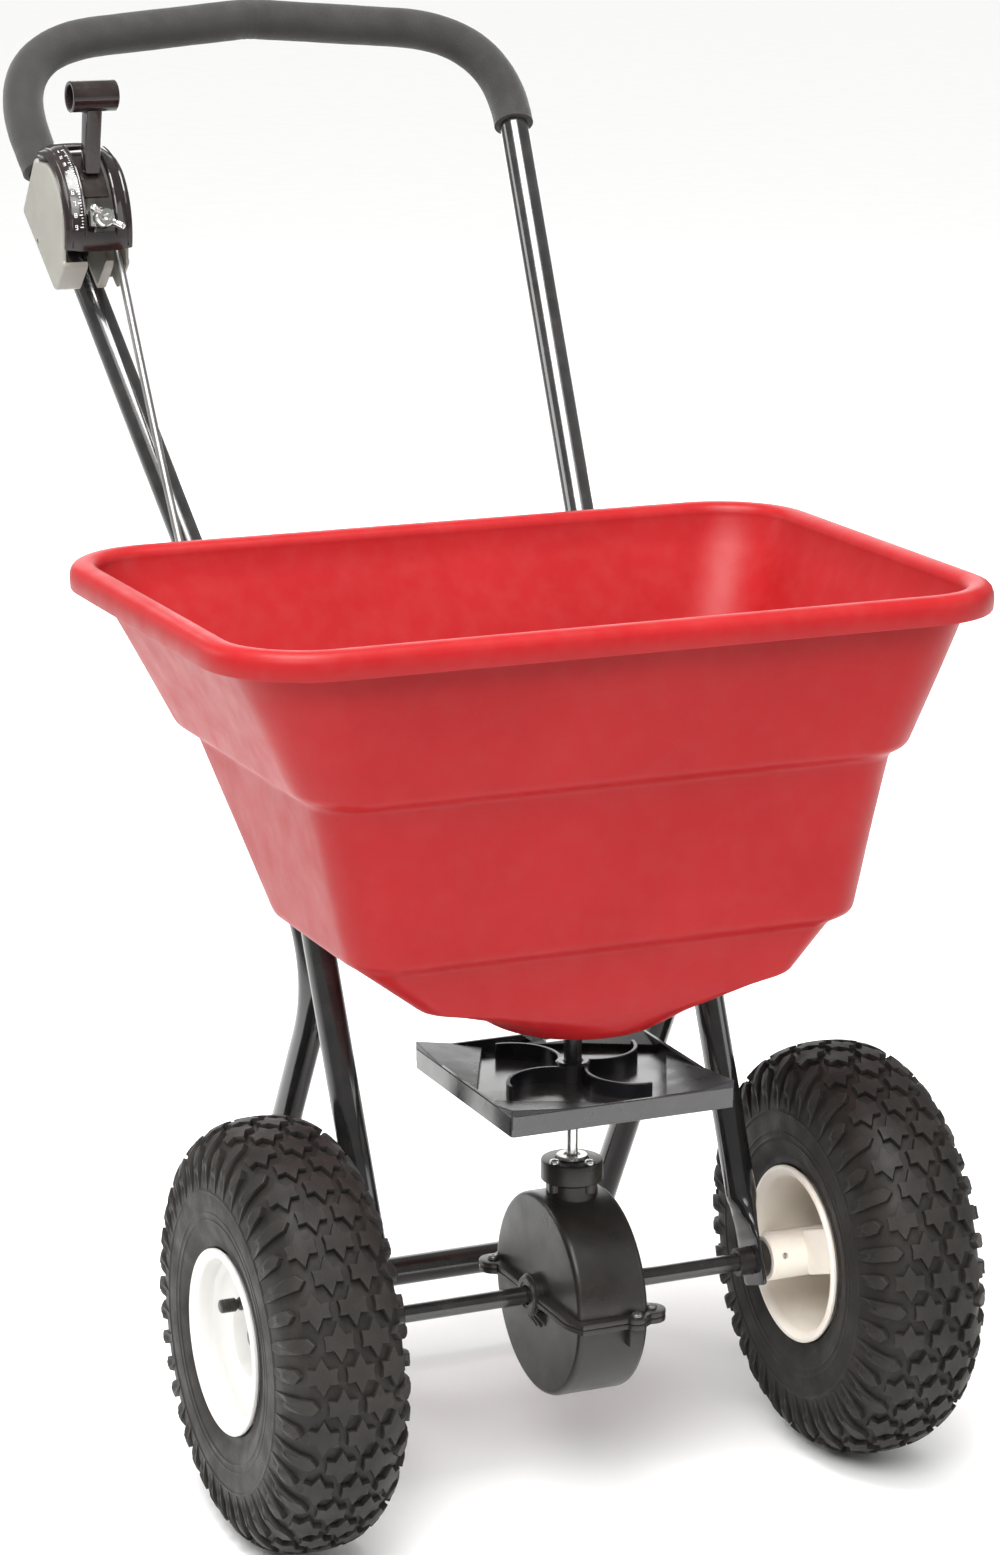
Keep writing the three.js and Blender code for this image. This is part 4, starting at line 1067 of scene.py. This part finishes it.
def build_lever():
    x, ring_y, ring_z = CONTROL_X, 411, 957
    shape = bar(Shape(), (x - 8, PIVOT.y, PIVOT.z), (x + 12, PIVOT.y, PIVOT.z), 9, 40)
    web = [(451, 862), (460, 861), (424, 907), (412, 907)]
    shape.prism(in_yz(web), X_AXIS, x - 3, x + 3, 0.5, 2)
    arm = [(411.6, 901), (424, 901), (421.5, 925), (418.5, 947), (404.5, 947), (409, 925)]
    shape.prism(in_yz(arm), X_AXIS, x - 6, x + 6, 2.2, 4)
    shroud = [(54, -9.5), (56.6, -9.5), (57.3, -8.8), (57.3, 8.8), (56.6, 9.5), (54, 9.5)]
    dial_arc(shape, shroud, 14, 62, 30)
    crank = rounded([(455, 851), (455, 865), (423, 862), (423, 854)], 3)
    shape.prism(in_yz(crank), X_AXIS, x + 8, x + 12, 0.6, 2)
    piece = shape.piece("lever_moulding", GLOSS, "lever_body", ["lever"], sharp=30)
    bore = bar(Shape(), (x - 30, ring_y, ring_z), (x + 30, ring_y, ring_z), 9.3, 40)
    cut(piece, cutter_from(bore))
    half_tube = [(8.8, -16.8), (9.3, -17.4), (10.8, -17.5), (11.5, -16.8)]
    tube = half_tube + handed(half_tube[::-1], -1)
    ring = Shape().turned(tube, "x", V(x, ring_y, ring_z), 64)
    # thin wall inside the ring, near its right end
    ring.turned([(0.01, 9.0), (9.2, 9.0), (9.2, 11.0), (0.01, 11.0)], "x", V(x, ring_y, ring_z), 40)
    ring.piece("lever_ring", GLOSS, "lever_body", sharp=30)


def build_stop_and_nut():
    stop = 78.7                     # dial angle of the rate stop
    axis = dial(stop, 1) - dial(stop, 0)
    across = V(0, axis.z, -axis.y)
    block = Shape()
    dial_arc(block, [(59, -9), (64.2, -9), (65, -8.2), (65, 8.2), (64.2, 9), (59, 9)], stop - 5, stop + 5, 8)
    bar(block, dial(stop, 62), dial(stop, 79), 2.3, 20)
    for k in range(11):
        # thread turns of the stud
        centre = dial(stop, 66 + 1.18 * k)
        turn = ((2.2, -0.35), (2.5, 0), (2.2, 0.35))
        block.rings([circle(centre + axis * d, X_AXIS, across, r, 20) for r, d in turn])
    block.piece("rate_stop_block", STEEL, "stop", ["rate_stop"])
    nut = Shape()
    body = [(2.6, 65.4), (7.5, 65.4), (8, 65.9), (7.8, 67.5), (7.0, 71.0), (6.3, 73.0), (5.8, 73.5),
            (2.6, 73.5)]
    rings = []
    for k in range(40):
        t = tau * k / 40
        out = X_AXIS * cos(t) + across * sin(t)
        rings.append([dial(stop, d) + out * r for r, d in body])
    nut.rings(rings, loop=True)
    tilt = radians(-35)
    wing = X_AXIS * cos(tilt) + axis.cross(X_AXIS) * sin(tilt)
    outline = rounded([(3.6, 66.6), (7.6, 67.0), (11.4, 70.2), (14.4, 74.0), (14.9, 77.2), (13.4, 79.6),
                       (10.6, 79.6), (7.6, 77.0), (4.4, 72.8)], 2.0, 3)
    for side in (-1, 1):
        ring = [dial(stop, d) + wing * (w * side) for w, d in outline]
        nut.prism(ring, axis.cross(wing), -2.1, 2.1, 1.4, 4)
    nut.piece("wing_nut_cast", STEEL, "nut", ["wing_nut"], sharp=40)


# ---------- wheels ----------
ROWS = 42                       # stud rows round a tyre
STUD = 4.2                      # height of a stud


def smooth_profile(points, steps):
    """Catmull-Rom points through a 2-D list."""
    given = [Vector(p) for p in points]
    ends = [given[0] * 2 - given[1]] + given + [given[-1] * 2 - given[-2]]
    result = []
    for i in range(len(given) - 1):
        p0, p1, p2, p3 = ends[i:i + 4]
        for k in range(steps):
            t = k / steps
            result.append(0.5 * ((p1 * 2) + (p2 - p0) * t + (p0 * 2 - p1 * 5 + p2 * 4 - p3) * t * t
                                 + (p1 * 3 - p0 - p2 * 3 + p3) * t ** 3))
    result.append(given[-1])
    return result


# (x, radius) from the middle of the tread to the bead
CARCASS = smooth_profile([(0, 145.7), (10, 145.3), (20, 143.4), (28.5, 139.4), (35, 133.4), (39.3, 126),
                          (42.2, 117.5), (43.8, 108), (44.4, 97), (44.1, 87), (42.8, 78.5), (40.2, 71.0)], 6)
ARCS = [0.0]
for first, second in zip(CARCASS, CARCASS[1:]):
    ARCS.append(ARCS[-1] + (second - first).length)


def on_carcass(v):
    """(x, radius, outward normal) of the carcass at arc length v from its middle line."""
    side, v = (-1 if v < 0 else 1), min(abs(v), ARCS[-1] - 1e-3)
    k = next(i for i in range(len(ARCS) - 1) if ARCS[i + 1] >= v)
    t = (v - ARCS[k]) / (ARCS[k + 1] - ARCS[k])
    p = CARCASS[k].lerp(CARCASS[k + 1], t)
    before, after = CARCASS[max(k - 1, 0)], CARCASS[min(k + 2, len(CARCASS) - 1)]
    if k == 0:
        before = Vector((-CARCASS[1].x, CARCASS[1].y))
    tangent = (after - before).normalized()
    normal = Vector((-tangent.y, tangent.x))
    # the normal points away from the axle on the tread, and sideways on the wall
    if (normal.y if p.y > 120 else normal.x) < 0:
        normal = -normal
    return p.x * side, p.y, Vector((normal.x * side, normal.y))


def tread_point(centre_x, angle, v, height):
    x, r, normal = on_carcass(v)
    x, r = x + normal.x * height, r + normal.y * height
    return V(centre_x + x, -r * sin(angle), AXLE_Z + r * cos(angle))


def add_stud(shape, centre_x, outline, row, v0, heights):
    """One tread block. outline is (across, along) in mm from the block's tip; heights are one per point."""
    start = row * tau / ROWS
    mid_v = sum(v for v, _ in outline) / len(outline)
    mid_u = sum(u for _, u in outline) / len(outline)

    def at(v, u, height):
        return tread_point(centre_x, start - u / 145.0, v0 + v, height)

    def ring(keep, rise):
        return [at(mid_v + (v - mid_v) * keep, mid_u + (u - mid_u) * keep, h * rise if rise > 0 else rise)
                for (v, u), h in zip(outline, heights)]

    rings = [ring(keep, rise) for keep, rise in
             ((1.05, -0.8), (1.03, 0.3), (1.0, 0.93), (0.97, 1.0), (0.6, 1.0), (0.25, 1.0))]
    count = len(outline)
    faces = quads(len(rings), count)
    hub = len(rings) * count
    last = hub - count
    faces += [(last + j, last + (j + 1) % count, hub) for j in range(count)]
    verts = [p for r in rings for p in r]
    verts.append(at(mid_v, mid_u, sum(heights) / count))
    shape.add(verts, faces)


def add_tread(shape, centre_x):
    half_column = 12.3
    # six-pointed star, long along the tread
    quarter = [(0, 0.4), (2.15, 4.6), (4.3, 8.8), (6.9, 8.4), (9.5, 8.5), (9.1, 11.0)]
    right = quarter + [(8.9, 13.5)] + [(v, 27 - u) for v, u in reversed(quarter)]
    block = right[::-1] + [(-v, u) for v, u in right[1:-1]]
    full = [STUD] * len(block)
    for row in range(ROWS):
        even = row % 2 == 0
        for column in ((-2, 0, 2) if even else (-1, 1)):
            jitter = [(v * random.uniform(0.985, 1.015), u * random.uniform(0.99, 1.01)) for v, u in block]
            add_stud(shape, centre_x, jitter, row, column * half_column, full)
        for side in (-1, 1):
            # shoulder lug: pointed inner end on the tread, running out as a rib down the sidewall
            start = 38.8 if even else 27.5
            half = [(start + 4, 8.6), (start + 9, 8.2), (50, 8.0), (56, 8.2), (62, 8.8), (67, 9.8),
                    (70, 11.2)]
            lug = [(start, 13.5)] + half + [(71, 13.5)] + [(v, 27 - u) for v, u in reversed(half)]
            heights = [STUD * max(0.10, 1 - max(0, v - 44) / 27) for v, _ in lug]
            outline = [(v * side, u) for v, u in lug]
            if side < 0:
                outline, heights = outline[::-1], heights[::-1]
            add_stud(shape, centre_x, outline, row, 0.0, heights)


def build_tyre(name, node, body):
    centre_x = middle(node).x
    shape = Shape()
    wall = [(p.y, p.x) for p in CARCASS]
    dense = []
    for (r0, x0), (r1, x1) in zip(wall, wall[1:]):
        for k in range(3):
            r, x = r0 + (r1 - r0) * k / 3, x0 + (x1 - x0) * k / 3
            x += 0.8 * exp(-((r - 104.0) / 1.0) ** 2) + 0.6 * exp(-((r - 84.0) / 0.9) ** 2)
            x += 0.45 * exp(-((r - 89.0) / 0.7) ** 2)
            dense.append((r, min(x, 45.4)))
    bead = [(70.0, 39.9), (68.0, 39.8), (66.4, 40.2), (65.4, 40.0), (64.4, 39.3), (61.2, 36.8), (60.4, 35.8),
            (60.4, 29)]
    inner = [(72, 36), (90, 38.6), (108, 38.4), (126, 33.4), (138, 22), (141, 10)]
    half_profile = dense + bead + inner
    profile = half_profile + [(r, -x) for r, x in reversed(half_profile) if x > 1e-6]
    shape.turned(profile, "x", V(centre_x, 0, AXLE_Z), 168)
    add_tread(shape, centre_x)
    shape.piece(name, RUBBER, body, [node], sharp=28)


SPOKE = V(0, cos(radians(160)), sin(radians(160)))   # along the spokes and the drive pin
VALVE_SEAT = V(0, 9.0, 22.3)        # valve from the wheel's axis


def wheel_centre(node, own):
    """Centre of the tyre that goes with a rim or a valve."""
    return V(middle(node.replace(own, "tyre")).x, 0, AXLE_Z)


def build_rim(name, node, body, side):
    """Moulded rim. side is the outward direction; two broad spokes cross the deep inward face."""
    centre = wheel_centre(node, "rim")
    hub_end = -65.75
    flange = [(60, 36.6), (61.2, 38.2), (63.2, 39.8), (64.4, 41.2), (64.5, 43.0), (63.8, 44.1), (61.8, 44.5),
              (59.4, 43.5), (57.2, 41.0), (56.5, 39.0)]
    web_in = [(16.5, 7.4), (17.4, 9.4), (24.8, 18.4), (27, 20.1), (30, 20.7), (51, 22.4), (54.6, 22.0),
              (56.2, 20.2), (56.5, 17)]
    web_out = [(56.5, 32), (56, 29.4), (54, 28.0), (50, 27.4), (30, 26.1), (26.6, 25.5), (24.8, 23.6),
               (20.2, 16.8), (18.4, 14.4), (17, 13.2), (15.6, 13), (7, 13), (6.45, 12.4)]
    profile = [(6.45, hub_end + 0.6), (7, hub_end), (15.6, hub_end), (16.5, hub_end + 0.9)] + web_in
    profile += handed(flange[::-1], -1) + [(60, 0)] + flange + web_out
    drive = body == "axle_set"
    finish = CREAM if drive else WHITE
    piece = Shape().turned(handed(profile, side), "x", centre, 96).piece(name, finish, body, [node], sharp=32)
    seat = centre + VALVE_SEAT
    cuts = [cutter_from(bar(Shape(), seat - X_AXIS * 60, seat + X_AXIS * 60, 3.8, 24))]
    if drive:
        pin_at = centre - X_AXIS * 56.5
        cuts.append(cutter_from(bar(Shape(), pin_at - SPOKE * 30, pin_at + SPOKE * 30, 2.4, 24)))
    cut(piece, *cuts)
    spokes = Shape()
    section = [(14.0, 6), (16.6, 10.5), (26, 21.5), (54, 23.4), (57.3, 23.4), (57.3, -36.5), (55, -38.0),
               (24, -38.8), (14.0, -38.8)]
    for way in (-1, 1):
        ring = [centre + SPOKE * (r * way) + X_AXIS * x for r, x in handed(section, side)]
        spokes.prism(ring, V(0, -SPOKE.z, SPOKE.y), -16.3, 16.3, 1.6, 4)
    spokes.piece(f"{name}_spokes", finish, body, sharp=32)


def build_valve(name, node, body, side):
    """Straight valve with a ribbed cap, standing out of the web beside the hub."""
    profile = [(0.01, 14), (3.2, 14), (3.5, 14.4), (3.5, 24), (4.6, 25.4), (4.6, 27.0), (3.5, 28.4),
               (3.5, 30), (4.3, 30)]
    for x in (30 + 2 * k for k in range(5)):
        profile += [(4.8, x + 0.5), (4.8, x + 1.5), (4.5, x + 1.8), (4.5, x + 2.2)]
    profile += [(4.6, 40.6), (3.6, 41.3), (2.4, 41.5), (0.01, 41.5)]
    shape = Shape().turned(handed(profile, side), "x", wheel_centre(node, "valve") + VALVE_SEAT, 32)
    shape.piece(name, BLACK, body, [node])


def build_wheels():
    wheels = (("free", "free_wheel", -1), ("drive", "axle_set", 1))
    for name, body, _ in wheels:
        build_tyre(f"{name}_tyre_studded", f"{name}_wheel_tyre", body)
    for name, body, side in wheels:
        build_rim(f"{name}_rim_moulded", f"{name}_wheel_rim", body, side)
    for name, body, side in wheels:
        build_valve(f"{name}_valve_stem", f"{name}_wheel_valve", body, side)
    left, right = (corner.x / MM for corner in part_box("axle"))
    axle = bar(Shape(), (left, 0, AXLE_Z), (right, 0, AXLE_Z), 6.35, 48, ease=0.9)
    axle.piece("axle_bar", PAINT, "axle_set", ["axle"])
    left, right = (corner.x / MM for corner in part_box("axle_washer"))
    washer = [(6.65, left), (12.7, left), (13, left + 0.3), (13, right - 0.3), (12.7, right), (6.65, right)]
    washer = Shape().turned(washer, "x", V(0, 0, AXLE_Z), 48)
    washer.piece("axle_washer_turned", STEEL, "axle_set", ["axle_washer"])
    build_cotter()
    at = middle("hub_pin")
    pin = bar(Shape(), at - SPOKE * 14, at + SPOKE * 14, 2.1, 24, ease=0.5)
    pin.piece("hub_pin_turned", STEEL, "axle_set", ["hub_pin"])


def build_cotter():
    """Split pin: two legs of wire, one bent further out, and the eye above."""
    cotter = Shape()
    x = middle("cotter_pin").x
    for side, spread_end in ((-1, 0.9), (1, 1.6)):
        line = [V(x + 0.75 * side, 0, z) for z in (161, 158, AXLE_Z, 142)]
        line.append(V(x + spread_end * side, 0, 138))
        cotter.rings(rings_along(line, [0.72] * 4 + [0.6], 14))
    turns = [radians(20 + 320 * k / 20) for k in range(21)]
    eye = [V(x + 2.4 * sin(t), 0, 162.6 - 2.0 * cos(t)) for t in turns]
    cotter.rings(rings_along(eye, 0.72, 14, Y_AXIS))
    cotter.piece("cotter_wire", STEEL, "axle_set", ["cotter_pin"])


# ---------- stage ----------
def build_stage():
    half = 30
    corners = [(-half, -half, 0), (half, -half, 0), (half, half, 0), (-half, half, 0)]
    mesh = bpy.data.meshes.new("floor")
    mesh.from_pydata(corners, [], [(0, 1, 2, 3)])
    floor = place_in_scene("floor", mesh)
    mesh.materials.append(surface("pale_floor", (0.97, 0.97, 0.965), 0.75, grain=300, grain_depth=0.02,
                                  mottle=0.01, rough_spread=0.05))
    sky = bpy.data.worlds.new("studio")
    bpy.context.scene.world = sky
    sky.use_nodes = True
    background = sky.node_tree.nodes["Background"]
    background.inputs["Color"].default_value = (1, 1, 1, 1)
    background.inputs["Strength"].default_value = 0.38
    sun = bpy.data.lights.new("window_wall", "SUN")
    sun.energy = 2.4
    sun.angle = radians(55)
    place_in_scene("window_wall", sun).rotation_euler = (radians(28), radians(-18), 0)
    for name, spot, aim, size, power in (
            ("key", (-1.9, -2.6, 2.9), (0, 0, 0.5), 1.6, 60),
            ("fill", (2.8, -2.2, 1.8), (0, 0, 0.5), 1.8, 26),
            ("top", (-0.5, -0.5, 3.0), (0.1, 0.1, 0.75), 1.4, 120),
            ("rim", (-2.4, 2.0, 1.6), (0, 0, 0.6), 1.2, 22),
            ("backdrop", (1.1, 3.4, 1.3), (0, 0, 0.35), 3.0, 55)):
        data = bpy.data.lights.new(name, "AREA")
        data.size = size
        data.energy = power
        light = place_in_scene(name, data)
        light.location = spot
        light.rotation_euler = (Vector(aim) - Vector(spot)).to_track_quat("-Z", "Y").to_euler()
    bpy.context.scene.view_settings.view_transform = "Standard"


build_hopper()
build_tubes()
build_grip()
build_fasteners()
build_gearbox()
build_impeller()
build_shutoff()
build_control()
build_wheels()
build_stage()
